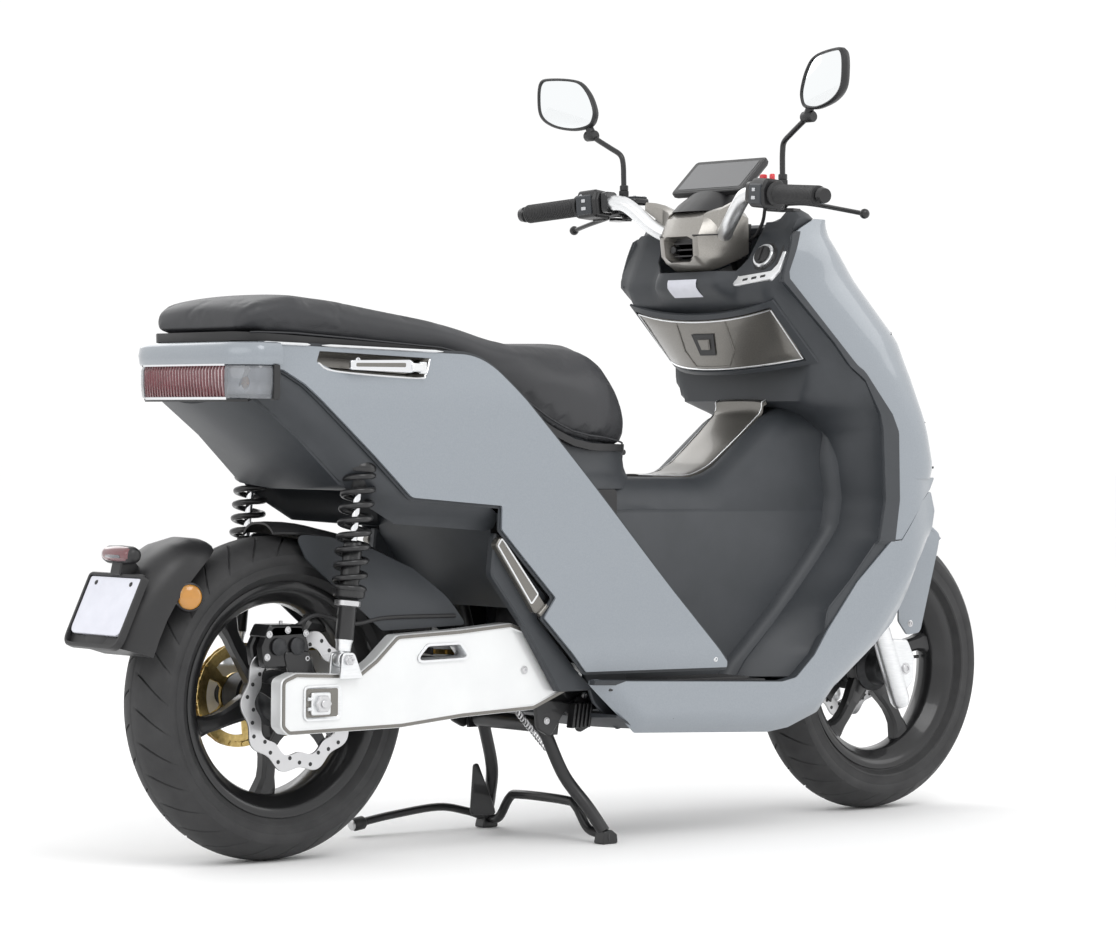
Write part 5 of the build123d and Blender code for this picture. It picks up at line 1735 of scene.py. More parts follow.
def lower_fairings():
    """The painted lower fairings, the sills and the belly."""
    outline = rounded(
        [(520, 281), (957, 264), (992, 270), (1037, 308), (1070, 352), (1143, 435), (1229, 506),
         (1256, 507),
         (1318, 578), (1352, 597), (1366, 560), (1352, 500), (1249, 359), (1207, 323), (1098, 247),
         (1059, 206),
         (987, 182), (938, 176), (622, 189)],
        [6, 12, 20, 20, 14, 20, 4, 4, 8, 8, 14, 30, 30, 20, 20, 20, 20, 10, 8], 4)

    def side(u, v):
        low = table_value(u, [(520, 281), (622, 189), (938, 176), (987, 182), (1059, 206), (1098, 247),
                              (1207, 323), (1352, 500)])
        roll = 16 * (1 - smooth(v, low - 2, low + 34)) ** 2
        nose = 24 * smooth(u, 1240, 1372) ** 2
        rear = 10 * (1 - smooth(u, 520, 620))
        return (u, -(213 - roll - nose - rear), v)

    skin("lower_fairing_skin", outline, side, "chassis", "paint", 4, 16, ["lower_fairings"])
    top = Shape()
    for k in (1, -1):
        line = [(522, 282), (957, 265), (990, 271), (1036, 309), (1066, 352), (1142, 436), (1226, 507)]
        rings = []
        for x, z in line:
            rings.append([(x, k * 211, z - 1), (x, k * 206, z + 1), (x, k * 196, z), (x, k * 196, z - 8),
                          (x, k * 208, z - 8)])
        top.loft(rings)
    top.make("sill_tops", "chassis", "satin_plastic", sharp=40)
    belly = Shape()
    rings = []
    for x, z in ((580, 212), (624, 192), (700, 186), (938, 178), (987, 184), (1059, 208), (1096, 250)):
        rings.append([(x, y, z + 5 * (abs(y) / 200) ** 3) for y in (-200, -150, -80, 0, 80, 150, 200)]
                     + [(x, y, z + 9) for y in (200, 0, -200)])
    belly.loft(rings)
    belly.make("belly_tray", "chassis", "satin_plastic", sharp=40)
    plugs = Shape()
    for x, z in ((1100, 280), (1240, 400), (700, 214)):
        bolt(plugs, x, -210, z, 4, -1)
    plugs.mirrored()
    plugs.make("fairing_screws", "chassis", "black_metal")


def lower_chassis():
    """Peg and stand brackets below the swingarm pivot, and the dark panel ahead of it."""
    shape = Shape()
    for k in (1, -1):
        shape.prism(rounded([(470, 250), (552, 238), (592, 262), (596, 196), (572, 186), (540, 226),
                             (506, 182),
                             (478, 196)], [8, 8, 8, 8, 8, 6, 10, 8], 3), k * 108, k * 118, 2)
        for i in range(5):
            x = 540 + i * 9
            shape.prism(rounded([(x, 196), (x + 5, 196), (x + 12, 238), (x + 7, 238)], 2, 2), k * 117,
                        k * 134, 1)
    shape.make("stand_brackets", "chassis", "black_metal", bevel=0.8)
    panel = Shape()
    for k in (1, -1):
        tri = rounded([(540, 300), (640, 296), (640, 196), (622, 192), (566, 240)], [6, 4, 4, 6, 16], 3)
        panel.prism(tri, k * 150, k * 158, 2)
    panel.make("pivot_panels", "chassis", "satin_plastic", bevel=0.8)
    bolts = Shape()
    for k in (1, -1):
        for x, z in ((496, 210), (580, 250), (560, 204)):
            bolt(bolts, x, k * 118, z, 5, k)
    bolts.make("stand_bracket_bolts", "chassis", "steel")


# ---- seat and stand -----------------------------------------------------------------------
SEAT_TOP = [(-148, 866), (-140, 888), (-120, 901), (-53, 911), (40, 904), (236, 878), (300, 866),
            (368, 850),
            (420, 843), (485, 845), (590, 848), (632, 838), (668, 808), (700, 768), (724, 724), (742, 678)]
SEAT_LOW = [(-148, 843), (253, 826), (300, 814), (342, 796), (410, 746), (495, 700), (550, 680), (600, 672),
            (742, 671)]
SEAT_HALF = [(-148, 108), (-138, 126), (-118, 136), (-60, 142), (300, 142), (420, 138), (500, 130),
             (560, 124),
             (600, 119), (640, 110), (680, 95), (705, 79), (724, 58), (736, 36), (742, 16)]


def seat_ring(x, grow=0.0):
    """One cross-section of the saddle, from the middle of the top round to the base and back."""
    top, low, half = (table_value(x, t) for t in (SEAT_TOP, SEAT_LOW, SEAT_HALF))
    half -= grow
    top -= grow
    low += grow
    deep = top - low
    front = smooth(x, 400, 600)
    crown = mix(5, 16, front) + 6 * (1 - smooth(x, -148, -60))
    bevel = min(deep * 0.42, mix(22, 60, front), half * 0.8)
    side = []
    for i in range(9):
        s = i / 8
        side.append((s * (half - bevel * 0.9), top - crown * s**2.4 * 0.6))
    for i in range(1, 8):
        a = pi / 2 * i / 7
        y = half - bevel * 0.9 + bevel * 0.9 * sin(a)
        z = top - crown * 0.6 - bevel * (1 - cos(a))
        side.append((y, z))
    y, z = side[-1]
    for i in range(1, 7):
        s = i / 6
        side.append((y - mix(6, 12, front) * smooth(s, 0.1, 1), mix(z, low, s)))
    side.append((side[-1][0] - 12, low - 0.5))
    side.append((0, low))
    ring = [(x, a, b) for a, b in side]
    return ring + [(x, -a, b) for a, b in reversed(side[1:-1])]


def seat():
    """The seat cover, its piping and pan, and the trims below it."""
    stations = [-148, -144, -138, -130, -118, -100, -76, -50]
    stations += list(range(-20, 670, 22)) + [676, 688, 698, 707, 715, 722, 728, 733, 737, 740, 742]
    base = Shape().loft([seat_ring(x) for x in stations])
    small = Shape().loft([seat_ring(x, 5) for x in stations])
    cover = inflate("seat_cover", small, 5.5)
    dress(cover, "seat", "vinyl", ["seat"], subdivide=1)
    piping = Shape()
    for k in (1, -1):
        path = []
        for x in stations[3:-3]:
            p = seat_ring(x)[20]
            path.append((p[0], k * (p[1] + 0.6), p[2] + 0.6))
        piping.tube(path, 1.6, 8)
    piping.make("seat_piping", "seat", "vinyl")
    pan = Shape()
    rings = []
    for x in stations[:-4]:
        low, half = table_value(x, SEAT_LOW), table_value(x, SEAT_HALF) - 5
        drop = 9 if x < 250 else 7
        rings.append([(x, half, low + 5), (x, half - 1, low - drop), (x, half - 14, low - drop - 1),
                      (x, 14 - half, low - drop - 1), (x, 1 - half, low - drop), (x, -half, low + 5)])
    pan.loft(rings)
    pan.make("seat_pan", "seat", "black_plastic", sharp=40)
    trim = Shape()
    for k in (1, -1):
        for start, end in ((-120, -30), (-8, 230)):
            path = []
            for i in range(16):
                x = mix(start, end, i / 15)
                path.append((x, k * (side_y(x, 830) + 1), 831 - 0.02 * (x + 120)))
            trim.tube(path, [0.6] + [2.4] * 14 + [0.6], 8)
    trim.make("seat_edge_trims", "chassis", "silver")
    hinge = Shape()
    hinge.rod((752, -22, 662), (752, 22, 662), 5, 20, 0.8)
    hinge.box((722, -14, 658), (758, 14, 674), 2)
    hinge.make("seat_hinge_pin", "seat", "black_metal", bevel=0.5)


def inflate(name, shape, cap):
    """A padded skin: the shape is remeshed, blown out by a short cloth run and held near its start."""
    mesh = bpy.data.meshes.new(name)
    mesh.from_pydata([at(*v) for v in shape.verts], [], shape.faces)
    work = bmesh.new()
    work.from_mesh(mesh)
    bmesh.ops.remove_doubles(work, verts=work.verts, dist=0.0001)
    bmesh.ops.recalc_face_normals(work, faces=work.faces)
    work.to_mesh(mesh)
    work.free()
    obj = bpy.data.objects.new(name, mesh)
    bpy.context.scene.collection.objects.link(obj)
    remesh = obj.modifiers.new("remesh", "REMESH")
    remesh.mode = "VOXEL"
    remesh.voxel_size = 0.006
    bake(obj)
    start = [v.co.copy() for v in obj.data.vertices]
    cloth = obj.modifiers.new("cloth", "CLOTH")
    cloth.settings.use_pressure = True
    cloth.settings.uniform_pressure_force = 4
    cloth.settings.quality = 4
    cloth.settings.tension_stiffness = 20
    cloth.settings.bending_stiffness = 2
    cloth.settings.effector_weights.gravity = 0
    scene = bpy.context.scene
    for i in range(1, 13):
        scene.frame_set(i)
    bpy.context.view_layer.update()
    graph = bpy.context.evaluated_depsgraph_get()
    blown = obj.evaluated_get(graph).to_mesh()
    moved = [v.co.copy() for v in blown.vertices]
    obj.modifiers.clear()
    scene.frame_set(1)
    for v, before, after in zip(obj.data.vertices, start, moved):
        step = after - before
        limit = cap / 1000
        v.co = before + step * min(1.0, limit / max(step.length, 1e-9))
    return obj


def stand():
    """The centre stand with its pedal and spring."""
    shape = Shape()
    shape.rod((519, -90, 200), (519, 90, 200), 14, 28, 2)
    for k in (1, -1):
        leg = spline([(519, k * 80, 200), (530, k * 83, 175), (556, k * 96, 112), (580, k * 130, 60),
                      (594, k * 156, 20)], 7)
        shape.tube(leg, 11, 18)
        shape.tube([(594, k * 150, 12), (600, k * 168, 12)], 10, 20)
        shape.prism(rounded([(578, 0.4), (614, 0.4), (612, 16), (600, 24), (584, 22)], 4, 3), k * 146,
                    k * 170, 1.5)
    bridge = [(598, -152, 16), (592, -118, 22), (590, -88, 58), (590, -60, 66), (590, 60, 66),
              (590, 88, 58),
              (592, 118, 22), (598, 152, 16)]
    shape.tube(spline(bridge, 6), 8, 16)
    lever = spline([(588, 160, 20), (560, 172, 30), (500, 176, 40), (400, 178, 32), (330, 178, 23)], 6)
    shape.tube(lever, 7, 14)
    shape.prism(rounded([(520, 30), (580, 26), (560, 70), (536, 120), (526, 118)], 8, 3), 108, 114, 1.5)
    shape.make("stand_frame", "stand", "black_metal", ["stand"], bevel=0.5)
    pedal = Shape()
    pedal.tube([(340, 178, 23.6), (336, 178, 23), (318, 178, 20.6), (314, 178, 20)], [8.4, 11.5, 11.5, 9],
               22)
    pedal.make("stand_pedal", "stand", "rubber")
    tip = Shape()
    tip.tube([(317, 178, 20.4), (312, 178, 19.8), (310, 178, 19.5)], [9, 9.4, 7], 22)
    tip.make("stand_pedal_tip", "stand", "steel")
    coils, steps = 14, 16
    path = []
    for i in range(steps * coils + 1):
        t = i / (steps * coils)
        a = 2 * pi * coils * t
        path.append((mix(470, 536, t), -70 + 6 * cos(a), mix(226, 160, t) + 6 * sin(a)))
    Shape().tube(path, 1.5, 6).make("stand_spring", "stand", "steel")


# ---- steering -----------------------------------------------------------------------------
def bar_point(y):
    """A point on the axis of the left handlebar end."""
    share = (y - 170) / (385 - 170)
    return Vector((mix(905, 869, share), y, mix(1116, 1100, share)))


def bar_turn(k):
    """A matrix that lays a shape drawn about the Y axis along one handlebar end, at its bend."""
    start, end = bar_point(170), bar_point(385)
    run = end - start
    run.y *= k
    origin = Vector((start.x, k * start.y, start.z))
    y = run.normalized() * k
    x = y.cross(Vector((0, 0, 1))).normalized()
    m = Matrix((x, y, x.cross(y))).transposed().to_4x4()
    m.translation = origin
    return m


def handlebar():
    """The bent bar, its ends and the two grips."""
    shape = Shape()
    half = [(944, 60, 1050), (936, 80, 1055), (925, 104, 1070), (914, 138, 1099), (907, 160, 1112),
            (902, 190, 1114.6)]
    line = [(x, -y, z) for x, y, z in reversed(half)] + half
    shape.tube(spline(line, 7), 13.5, 24)
    shape.make("handlebar_bend", "steering", "silver", ["handlebar"])
    ends = Shape()
    for k in (1, -1):
        ends.tube([(p.x, k * p.y, p.z) for p in (bar_point(186), bar_point(384))], 11, 20)
        p, q = bar_point(384), bar_point(396)
        a, b, c = (p.lerp(q, t) for t in (0, 0.25, 1))
        ends.tube([(v.x, k * v.y, v.z) for v in (a, b, c)], [11, 14.5, 12.5], 24)
    ends.make("bar_ends", "steering", "black_metal", bevel=0.6)
    for k, body in ((1, "steering"), (-1, "throttle")):
        name = "left" if k > 0 else "right"
        grip = Shape()
        profile = [(11.4, 86), (21, 86), (21.5, 88), (21.5, 91), (17, 93)]
        for i in range(30):
            base = 94 + i * 3.9
            profile += [(17.2, base), (16.2, base + 0.7), (16.2, base + 1.7), (17.2, base + 2.4)]
        profile += [(16.6, 212), (11.4, 213)]
        grip.lathe([(r, k * y) for r, y in profile], 0, 0, 40)
        grip.turned(bar_turn(k))
        grip.make(f"grip_{name}", body, "rubber", ["grip_throttle"] if k < 0 else [], sharp=40)


def controls():
    """Switch pods, master cylinders, levers, mirrors, hoses and buttons."""
    for k, name in SIDES:
        m = bar_turn(k)
        pod = Shape()
        outline = rounded([(-24, -24), (22, -26), (26, 2), (18, 24), (-18, 27), (-27, 8)], 9, 4)
        pod.prism(outline, k * 36, k * 80, 4)
        pod.prism(shrink(outline, 4), k * 30, k * 38, 2)
        pod.prism(rounded([(10, -30), (30, -26), (28, -4), (12, -6)], 5, 3), k * 44, k * 72, 2)
        pod.turned(m)
        pod.make(f"pod_{name}", "steering", "black_plastic", ["switch_pods"], bevel=0.8)
        pad = Shape()
        pad.prism(rounded([(-29, -18), (-24, -20), (-25, 18), (-29, 14)], 1.5, 2), k * 42, k * 76, 1)
        pad.turned(m)
        pad.make(f"pod_face_{name}", "steering", "satin_plastic", bevel=0.4)
        details = Shape()
        for x, z, w in ((-30, -8, 5), (-30, 6, 4)):
            details.prism(rounded([(x - 1, z - 3), (x + 2, z - 3), (x + 2, z + 3), (x - 1, z + 3)], 0.6, 2),
                          k * (58 - w), k * (58 + w), 0.8)
        details.turned(m)
        details.make(f"pod_switches_{name}", "steering", "grey_plastic", bevel=0.3)
        master = Shape()
        master.prism(rounded([(-18, -18), (16, -18), (20, 0), (16, 20), (-18, 20)], 9, 4), k * 14, k * 28,
                     2.4)
        master.turned(m)
        master.box((928, k * 184 - 2, 1086), (962, k * 184 + 2, 1110), 1)
        body_line = rounded([(914, 1092), (962, 1090), (964, 1108), (916, 1112)], 5, 3)
        master.prism(body_line, k * 178, k * 212, 3)
        master.box((926, min(k * 150, k * 216), 1111), (964, max(k * 150, k * 216), 1124), 3)
        for z in (1084, 1107):
            ear = [(924, k * 196), (962, k * 196), (968, k * 236), (946, k * 240), (924, k * 214)]
            master.loft([[(x, y, height) for x, y in ear] for height in (z, z + 5)])
        master.rod((952, k * 207, 1108), (952, k * 207, 1130), 9.5, 22, 1)
        master.make(f"master_{name}", "steering", "black_alloy", ["brake_masters"], bevel=0.8)
        lid = Shape()
        lid.box((929, min(k * 153, k * 200), 1123), (961, max(k * 153, k * 200), 1127), 1.4)
        lid.make(f"master_lid_{name}", "steering", "satin_plastic", bevel=0.4)
        screws = Shape()
        for y in (158, 195):
            for x in (934, 956):
                screws.rod((x, k * y, 1126), (x, k * y, 1128.4), 2.6, 12, 0.5)
        screws.rod((946, k * 214, 1111), (946, k * 214, 1115), 5, 6, 0.8)
        screws.make(f"master_screws_{name}", "steering", "steel")
        lever(k, name)
        mirror(k, name)
        hose = spline([(940, k * 176, 1094), (960, k * 150, 1070), (984, k * 110, 1050),
                       (1010, k * 66, 1042)], 8)
        Shape().tube(hose, 3.2, 10).make(f"bar_hose_{name}", "steering", "rubber")
    for node, look in (("button_horn", "grey_plastic"), ("button_beam", "grey_plastic"),
                       ("button_stop", "red_plastic"), ("button_hazard", "red_plastic")):
        button(node, look)


def button(node, look):
    """A crowned round button in place of the plain one."""
    low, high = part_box(node)
    mid = (low + high) / 2
    size = high - low
    x, y, z = (mid.x - AXLE_X) * 1000, mid.y * 1000, mid.z * 1000
    dx, dz = size.x * 500, size.z * 500
    shape = Shape()
    if look == "red_plastic":
        r = dx
        shape.tube([(x, y, z - dz), (x, y, z + dz - 2), (x, y, z + dz - 0.6), (x, y, z + dz)],
                   [r * 0.96, r * 0.96, r * 0.8, r * 0.5], 28)
    else:
        r = dz
        shape.tube([(x + dx, y, z), (x + 2 - dx, y, z), (x + 0.6 - dx, y, z), (x - dx, y, z)],
                   [r * 0.96, r * 0.96, r * 0.8, r * 0.5], 28)
    shape.make(f"{node}_cap", node, look, [node])


def lever(k, name):
    """One brake lever."""
    body = f"brake_lever_{name}"
    blade = Shape()
    rings = []
    path = spline([(946, 214, 1100), (964, 240, 1099), (974, 280, 1093), (976, 330, 1084),
                   (981, 372, 1076)], 7)
    for i, p in enumerate(path):
        t = i / (len(path) - 1)
        wide = mix(8, 5.6, smooth(t, 0, 0.4))
        tall = mix(6.4, 4.2, smooth(t, 0, 0.4))
        rings.append([(p.x + wide * cos(a), k * p.y, p.z + tall * sin(a)) for a in
                      [2 * pi * j / 14 for j in range(14)]])
    blade.loft(rings)
    blade.ball((981, k * 378, 1075), 8.8, 12, 20)
    blade.tube([(946, k * 214, 1092.6), (946, k * 214, 1094), (946, k * 214, 1106), (946, k * 214, 1107)],
               [9, 10, 10, 9], 24)
    blade.make(f"lever_{name}", body, "black_metal", [body])


def mirror(k, name):
    """One mirror: its stem, shell and glass."""
    stem_body, head_body = f"mirror_stem_{name}", f"mirror_head_{name}"
    stem = Shape()
    path = [(952, k * 207, 1132), (951, k * 207, 1160), (950, k * 208, 1190), (948, k * 214, 1206),
            (944, k * 236, 1219), (940, k * 262, 1233), (938, k * 282, 1244)]
    stem.tube(spline(path, 7), 5, 16)
    stem.rod((952, k * 207, 1128.5), (952, k * 207, 1140), 10, 6, 1)
    stem.rod((952, k * 207, 1140), (952, k * 207, 1150), 8, 20, 1)
    stem.rod((938, k * 273, 1244), (938, k * 291, 1244), 9, 24, 1.2)
    stem.make(stem_body + "_bar", stem_body, "black_metal", [stem_body], bevel=0.5)
    yaw = radians(11.8)
    m = Matrix(((cos(yaw), -k * sin(yaw), 0), (k * sin(yaw), cos(yaw), 0), (0, 0, 1))).to_4x4()
    m.translation = Vector((922, k * 333, 1305.5))
    outline = [(64, 43), (40, 49), (-22, 42), (-50, 20), (-66, -12), (-66, -32), (-54, -46), (-14, -51),
               (32, -42),
               (62, -22), (69, 12)]
    outline = [tuple(p)[:2] for p in spline([(x, z, 0) for x, z in outline], 6, True)]
    if k < 0:
        outline = [(-x, z) for x, z in outline]
    house = Shape()
    loops = []
    for grow, x in ((0.90, -1), (0.91, -4.4), (0.95, -5), (1, -2), (1, 5), (0.94, 12), (0.8, 18),
                    (0.55, 22), (0.2, 24)):
        loops.append([(x, a * grow, b * grow) for a, b in outline])
    house.loft(loops)
    house.turned(m)
    house.tube([(938, k * 283, 1248), (937, k * 287, 1258), (938, k * 296, 1274), (940, k * 304, 1284)],
               [9, 7.5, 9, 8], 20)
    house.tube([(938, k * 270, 1244), (938, k * 272, 1244), (938, k * 294, 1244), (938, k * 296, 1244)],
               [8.4, 9.8, 9.8, 8.4], 24)
    house.make(head_body + "_shell", head_body, "black_plastic", [head_body], sharp=50)
    glass = Shape()
    loops = []
    for grow, x in ((0.92, -1), (0.92, -2.4), (0.9, -2.8)):
        loops.append([(x, a * grow, b * grow) for a, b in outline])
    glass.loft(loops)
    glass.turned(m)
    glass.make(head_body + "_glass", head_body, "mirror", sharp=30)


def headset():
    """The faceted taupe cover with a wing at each side, the dark vent in it and the display; cover and
    wings carry the taupe trim painted lighter, a painted highlight.
    """
    cover = Shape()
    sections = [
        (0,
         [(905, 998), (896, 1010), (893, 1044), (896, 1050), (909, 1079), (938, 1098), (972, 1110),
          (1004, 1100),
             (1006, 1008), (934, 984)]),
        (40,
         [(906, 999), (897, 1010), (894, 1044), (897, 1050), (910, 1079), (938, 1097), (972, 1109),
          (1004, 1099),
              (1006, 1008), (935, 985)]),
        (49,
         [(912, 1001), (902, 1011), (897, 1044), (900, 1050), (914, 1078), (940, 1094), (973, 1106),
          (1003, 1096),
              (1005, 1009), (938, 987)]),
        (63,
         [(934, 1008), (928, 1016), (921, 1046), (924, 1051), (934, 1074), (950, 1088), (974, 1098),
          (1000, 1090),
              (1002, 1012), (956, 996)]),
        (76,
         [(964, 1016), (961, 1022), (957, 1048), (958, 1052), (964, 1066), (970, 1077), (981, 1085),
          (996, 1080),
              (998, 1018), (978, 1008)]),
    ]
    rings = []
    for y, line in reversed(sections[1:]):
        rings.append([(x, -y, z) for x, z in line])
    for y, line in sections:
        rings.append([(x, y, z) for x, z in line])
    cover.loft(rings)
    # The cover's taupe is painted lighter than the trim elsewhere: a painted highlight.
    shell = cover.make("cover_shell", "steering", "bright_trim", ["headset_cover"], bevel=0, sharp=15)
    octagon = [(-40, 1040), (-26, 1046), (30, 1046), (36, 1040), (34, 1008), (20, 1000), (-26, 1000),
               (-40, 1010)]

    def hollow(x, grow):
        return [(x, y * grow, 1023 + (z - 1023) * grow) for y, z in octagon]

    carve(shell, Shape().loft([hollow(870, 1.0), hollow(893, 1.0), hollow(922, 0.78)]))
    vent = Shape()
    vent.loft([hollow(899, 1.0), hollow(921, 0.79), hollow(922, 0.7), hollow(922, 0.02)], True, False)
    vent.make("cover_recess", "steering", "black_plastic", sharp=30)
    ribs = Shape()
    for z in (1012, 1023, 1034):
        ribs.box((908, -24, z - 1.8), (920, 24, z + 1.2), 0.6)
    ribs.rod((904, 22, 1023), (920, 22, 1023), 7, 24, 1.2)
    ribs.make("cover_recess_ribs", "steering", "black_metal", bevel=0.3)
    seam = Shape()
    for k in (1, -1):
        seam.tube([(893.6, k * 40, 1047), (898, k * 49, 1047), (922, k * 63, 1048.5),
                   (957.4, k * 76.3, 1050)], 1.3, 8)
    seam.make("cover_seam", "steering", "black_plastic")
    wings = Shape()
    for k in (1, -1):
        rings = []
        for x, y, low, high, deep in ((934, 46, 1056, 1092, 20), (946, 66, 1056, 1099, 13),
                                      (948, 88, 1070, 1108, 9),
                                      (943, 108, 1086, 1113, 7), (934, 126, 1099, 1115, 4)):
            rings.append([(x - deep, k * y, low), (x - deep, k * y, high - 7),
                          (x - deep * 0.3, k * y, high),
                          (x + deep, k * y, high - 3), (x + deep, k * y, low)])
        wings.loft(rings)
    # The wings carry the same lighter taupe, a painted highlight.
    wings.make("cover_wings", "steering", "bright_trim", bevel=1.2, sharp=20)
    collar = Shape()
    collar.tube([steer(z) + Vector((-22, 0, 0)) for z in (968, 972, 984, 990)], [52, 56, 52, 46], 40)
    collar.make("cover_collar", "steering", "black_plastic", sharp=35)
    screen_matrix = basis((994, 0, 1160), (0, 1, 0), (0.724, 0, 0.69))
    turn = side_facing(screen_matrix, Vector((-0.69, 0, 0.724)))
    tablet = Shape()
    line = rounded([(-92, -45), (92, -45), (92, 45), (-92, 45)], 9, 5)
    loops = []
    for amount, depth in ((14, 15), (4, 14), (0, 9), (0, 1.5), (1.5, 0), (4, 0)):
        loops.append([(x, depth, z) for x, z in shrink(line, amount)])
    tablet.loft(loops)
    tablet.turned(turn)
    tablet.make("display_case", "steering", "black_plastic", ["display"], sharp=35)
    glass = Shape()
    glass.prism(shrink(line, 4.5), -0.5, 2, 0.4)
    glass.turned(turn)
    glass.make("display_glass", "steering", "black_plastic", sharp=30)
    pane = Shape()
    pane.prism(rounded([(-80, -35), (80, -35), (80, 35), (-80, 35)], 3, 3), -0.9, 0, 0.2)
    pane.turned(turn)
    pane.make("display_pane", "steering", "screen", sharp=30)
    dome = Shape()
    rings = []
    for z, half, back, ahead in ((1092, 62, 916, 1008), (1106, 58, 930, 1012), (1118, 50, 946, 1014),
                                 (1130, 44, 962, 1020), (1142, 40, 976, 1026), (1150, 36, 984, 1030)):
        mid, reach = (back + ahead) / 2, (ahead - back) / 2
        ring = []
        for j in range(28):
            a = 2 * pi * j / 28
            ring.append((mid + reach * math.copysign(abs(cos(a)) ** 0.7, cos(a)),
                         half * math.copysign(abs(sin(a)) ** 0.7, sin(a)), z))
        rings.append(ring)
    dome.loft(rings)
    dome.make("display_dome", "steering", "black_plastic", sharp=50)


# ---- front end ----------------------------------------------------------------------------
def steer(z, y=0.0):
    """A point on the plane of the steering axis at height z."""
    return Vector((STEER_X - math.tan(RAKE) * (z - FRONT_Z), y, z))


def fork():
    """The fork sliders with their seals and bolts, and the front axle."""
    for k, name in SIDES:
        y = k * 88
        low = steer(195, y)
        run = (steer(295, y) - low).normalized()
        slider = Shape()
        stops = [(0, 12), (4, 15), (12, 18), (30, 18.5), (250, 18.8), (266, 21), (292, 21), (296, 19),
                 (300, 17)]
        slider.tube([low + run * d for d, r in stops], [r for d, r in stops], 36)
        lug = rounded([(1376, 206), (1414, 242), (1416, 286), (1398, 318), (1352, 322), (1370, 240)], 10, 4)
        slider.prism(lug, y - 9, y + 9, 3)
        slider.make(f"slider_{name}", "fork_lowers", "silver", ["fork_lowers"], bevel=0.8)
        seal = Shape()
        seal.tube([low + run * d for d in (297, 300, 308, 310)], [18, 19.6, 19.6, 17], 32)
        seal.make(f"slider_seal_{name}", "fork_lowers", "rubber")
        cap = Shape()
        bolt(cap, 1390, y + k * 9, 265, 9, k)
        bolt(cap, 1403, k * 96, 348, 5, k)
        cap.make(f"fork_bolts_{name}", "fork_lowers", "steel")
    axle = Shape()
    axle.rod((FRONT_X, -86, FRONT_Z), (FRONT_X, 86, FRONT_Z), 10, 24, 1)
    axle.make("front_axle", "fork_lowers", "steel")


def front_caliper():
    """The front calliper."""
    shape = Shape()
    line = rounded([(1262, 268), (1284, 250), (1330, 258), (1336, 300), (1322, 332), (1276, 330)], 8, 4)
    shape.prism(line, 66, 84, 3)
    shape.prism(line, 38, 54, 3)
    shape.prism(rounded([(1256, 274), (1274, 262), (1278, 326), (1266, 322)], 4, 3), 38, 84, 2)
    shape.make("front_caliper_body", "fork_lowers", "black_alloy", ["front_caliper"], bevel=0.8)
    bolts = Shape()
    for x, z in ((1290, 262), (1300, 324), (1326, 276)):
        bolt(bolts, x, 84, z, 5, 1)
    bolts.make("front_caliper_bolts", "fork_lowers", "steel")


def fender():
    """The painted mudguard: an arch with rolled sides and a cheek down to each fork leg."""
    shape = Shape()
    rings = []
    for i in range(25):
        a = radians(mix(106, 62, i / 24))
        half = 76 - 14 * smooth(abs(i - 12), 8, 14)
        ring = []
        for j in range(15):
            s = -1 + j / 7
            r = 285 - 15 * abs(s) ** 3.2
            ring.append((FRONT_X + r * cos(a), s * half, FRONT_Z + r * sin(a)))
        for j in range(15):
            s = 1 - j / 7
            r = 281.5 - 15 * abs(s) ** 3.2
            ring.append((FRONT_X + r * cos(a), s * (half - 3), FRONT_Z + r * sin(a)))
        rings.append(ring)
    shape.loft(rings)
    shape.make("fender_arch", "fork_lowers", "paint", ["front_fender"], sharp=50)

    def cheek(u, v):
        return (u, -(78 - 5 * smooth(v, 480, 545)), v)

    line = rounded([(1391, 352), (1414, 326), (1449, 329), (1489, 465), (1503, 512), (1476, 531),
                    (1410, 540),
                    (1390, 470)], [10, 10, 14, 20, 12, 12, 20, 30], 4)
    skin("fender_cheeks", line, cheek, "fork_lowers", "paint", 3.5, 14)


def hidden_structure():
    """The frame, battery, motor, bins and stem keep their CAD shape, with real finishes and soft edges."""
    for node, look in (("main_frame", "black_metal"), ("battery_pack", "black_plastic"),
                       ("motor_case", "cast"),
                       ("storage_bin", "black_plastic"), ("motor_sprocket", "gold"),
                       ("steering_stem", "black_metal")):
        obj = NODES[node]
        obj.data.materials.clear()
        obj.data.materials.append(MAT[look])
        mod = obj.modifiers.new("edges", "BEVEL")
        mod.width = 0.0008
        mod.segments = 2
        mod.limit_method = "ANGLE"
    for k in (1, -1):
        tube = Shape()
        y = k * 88
        tube.rod(steer(282, y), steer(668, y), 15.6, 32)
        tube.make("fork_tube_left" if k > 0 else "fork_tube_right", "steering", "chrome")


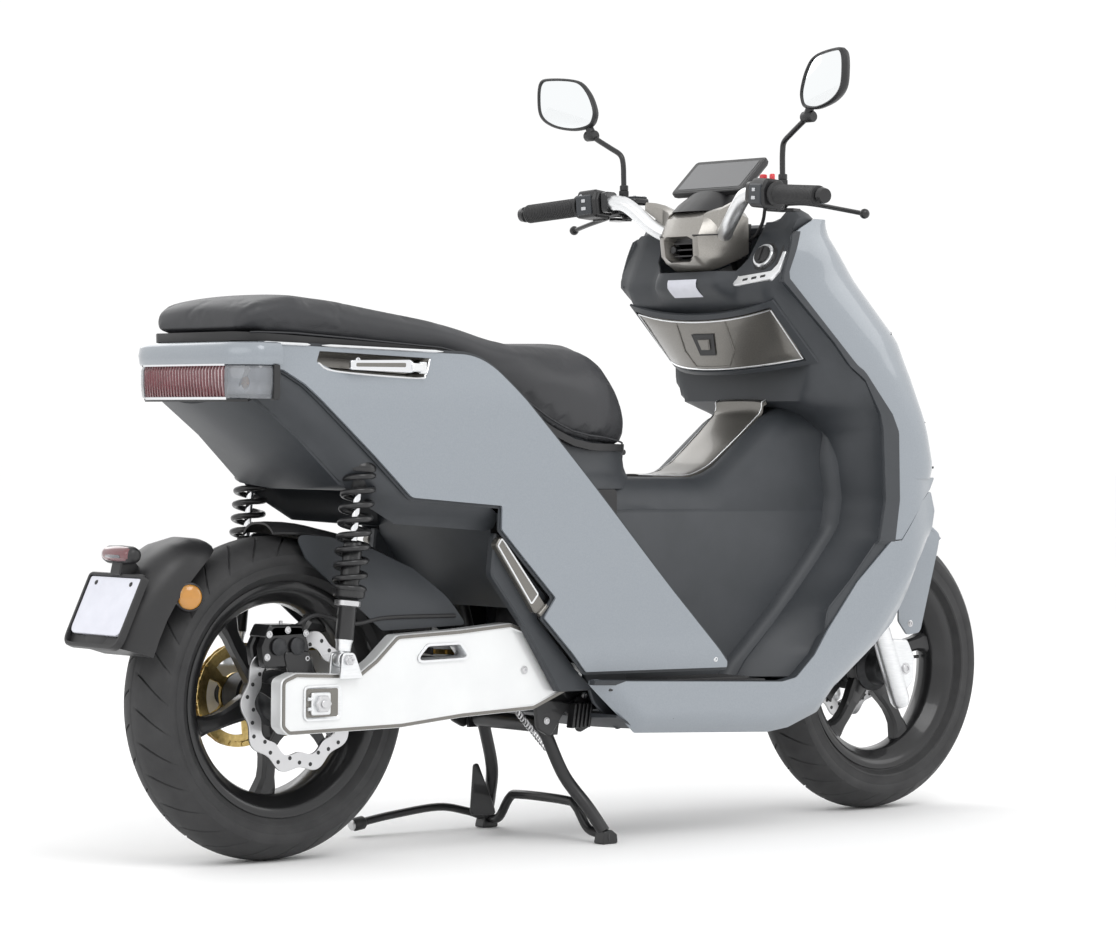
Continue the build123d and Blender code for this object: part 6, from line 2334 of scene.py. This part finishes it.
# ---- camera, light and floor ----------------------------------------------------------------
def stage():
    """The camera, the lamps and the white floor."""
    world = bpy.data.worlds.new("studio")
    bpy.context.scene.world = world
    world.use_nodes = True
    world.node_tree.nodes["Background"].inputs["Color"].default_value = (1, 1, 1, 1)
    world.node_tree.nodes["Background"].inputs["Strength"].default_value = 1.05
    floor_mesh = bpy.data.meshes.new("studio_floor")
    size = 60
    floor_mesh.from_pydata([(-size, -size, 0), (size, -size, 0), (size, size, 0), (-size, size, 0)], [],
                           [(0, 1, 2, 3)])
    floor = bpy.data.objects.new("studio_floor", floor_mesh)
    bpy.context.scene.collection.objects.link(floor)
    mat = shader("studio_floor", (0.96, 0.96, 0.96), 0.85)
    vary_color(mat, 2, (0.958, 0.958, 0.958), (0.964, 0.964, 0.964))
    floor_mesh.materials.append(mat)
    # name, place, target, width in metres, power in watts
    lamps = (
        ("key", (-1.2, -3.4, 4.6), (0.1, 0, 0.5), 3.2, 80),
        ("rear_fill", (-4.6, -0.6, 2.4), (-0.3, 0, 0.6), 2.6, 17),
        ("front_fill", (4.2, -2.6, 2.6), (0.4, 0, 0.6), 2.6, 24),
        ("far_fill", (0.6, 4.4, 3.4), (0, 0, 0.6), 3.4, 38),
    )
    for name, place, target, width, power in lamps:
        data = bpy.data.lights.new(name, "AREA")
        data.shape = "DISK"
        data.size = width
        data.energy = power
        lamp = bpy.data.objects.new(name, data)
        lamp.location = place
        lamp.rotation_euler = (Vector(target) - Vector(place)).to_track_quat("-Z", "Y").to_euler()
        bpy.context.scene.collection.objects.link(lamp)
    data = bpy.data.cameras.new("photo_camera")
    data.lens = 114.24
    data.sensor_width = 36
    data.clip_end = 200
    camera = bpy.data.objects.new("photo_camera", data)
    bpy.context.scene.collection.objects.link(camera)
    yaw, pitch, roll = radians(40.926), radians(0.594), radians(0.524)
    ahead = Vector((sin(yaw) * cos(pitch), cos(yaw) * cos(pitch), -sin(pitch)))
    right = Vector((cos(yaw), -sin(yaw), 0))
    up = right.cross(ahead)
    right_rolled = cos(roll) * right + sin(roll) * up
    up_rolled = cos(roll) * up - sin(roll) * right
    turn = Matrix((right_rolled, up_rolled, -ahead)).transposed().to_4x4()
    turn.translation = Vector((-4.0493, -4.6256, 0.6854))
    camera.matrix_world = turn
    bpy.context.scene.camera = camera
    bpy.context.scene.view_settings.view_transform = "Standard"


def main():
    """Builds every piece."""
    wheels()
    swingarm()
    pivot_caps()
    chain()
    caliper()
    hugger()
    plate_group()
    for k in (1, -1):
        shock(k)
    side_panels()
    grab_handles()
    tail()
    under_tail()
    footpegs()
    leg_shield()
    tunnel()
    glovebox()
    knob()
    front_panel()
    front_face()
    lower_fairings()
    lower_chassis()
    seat()
    stand()
    handlebar()
    controls()
    headset()
    fork()
    front_caliper()
    fender()
    hidden_structure()
    stage()


main()
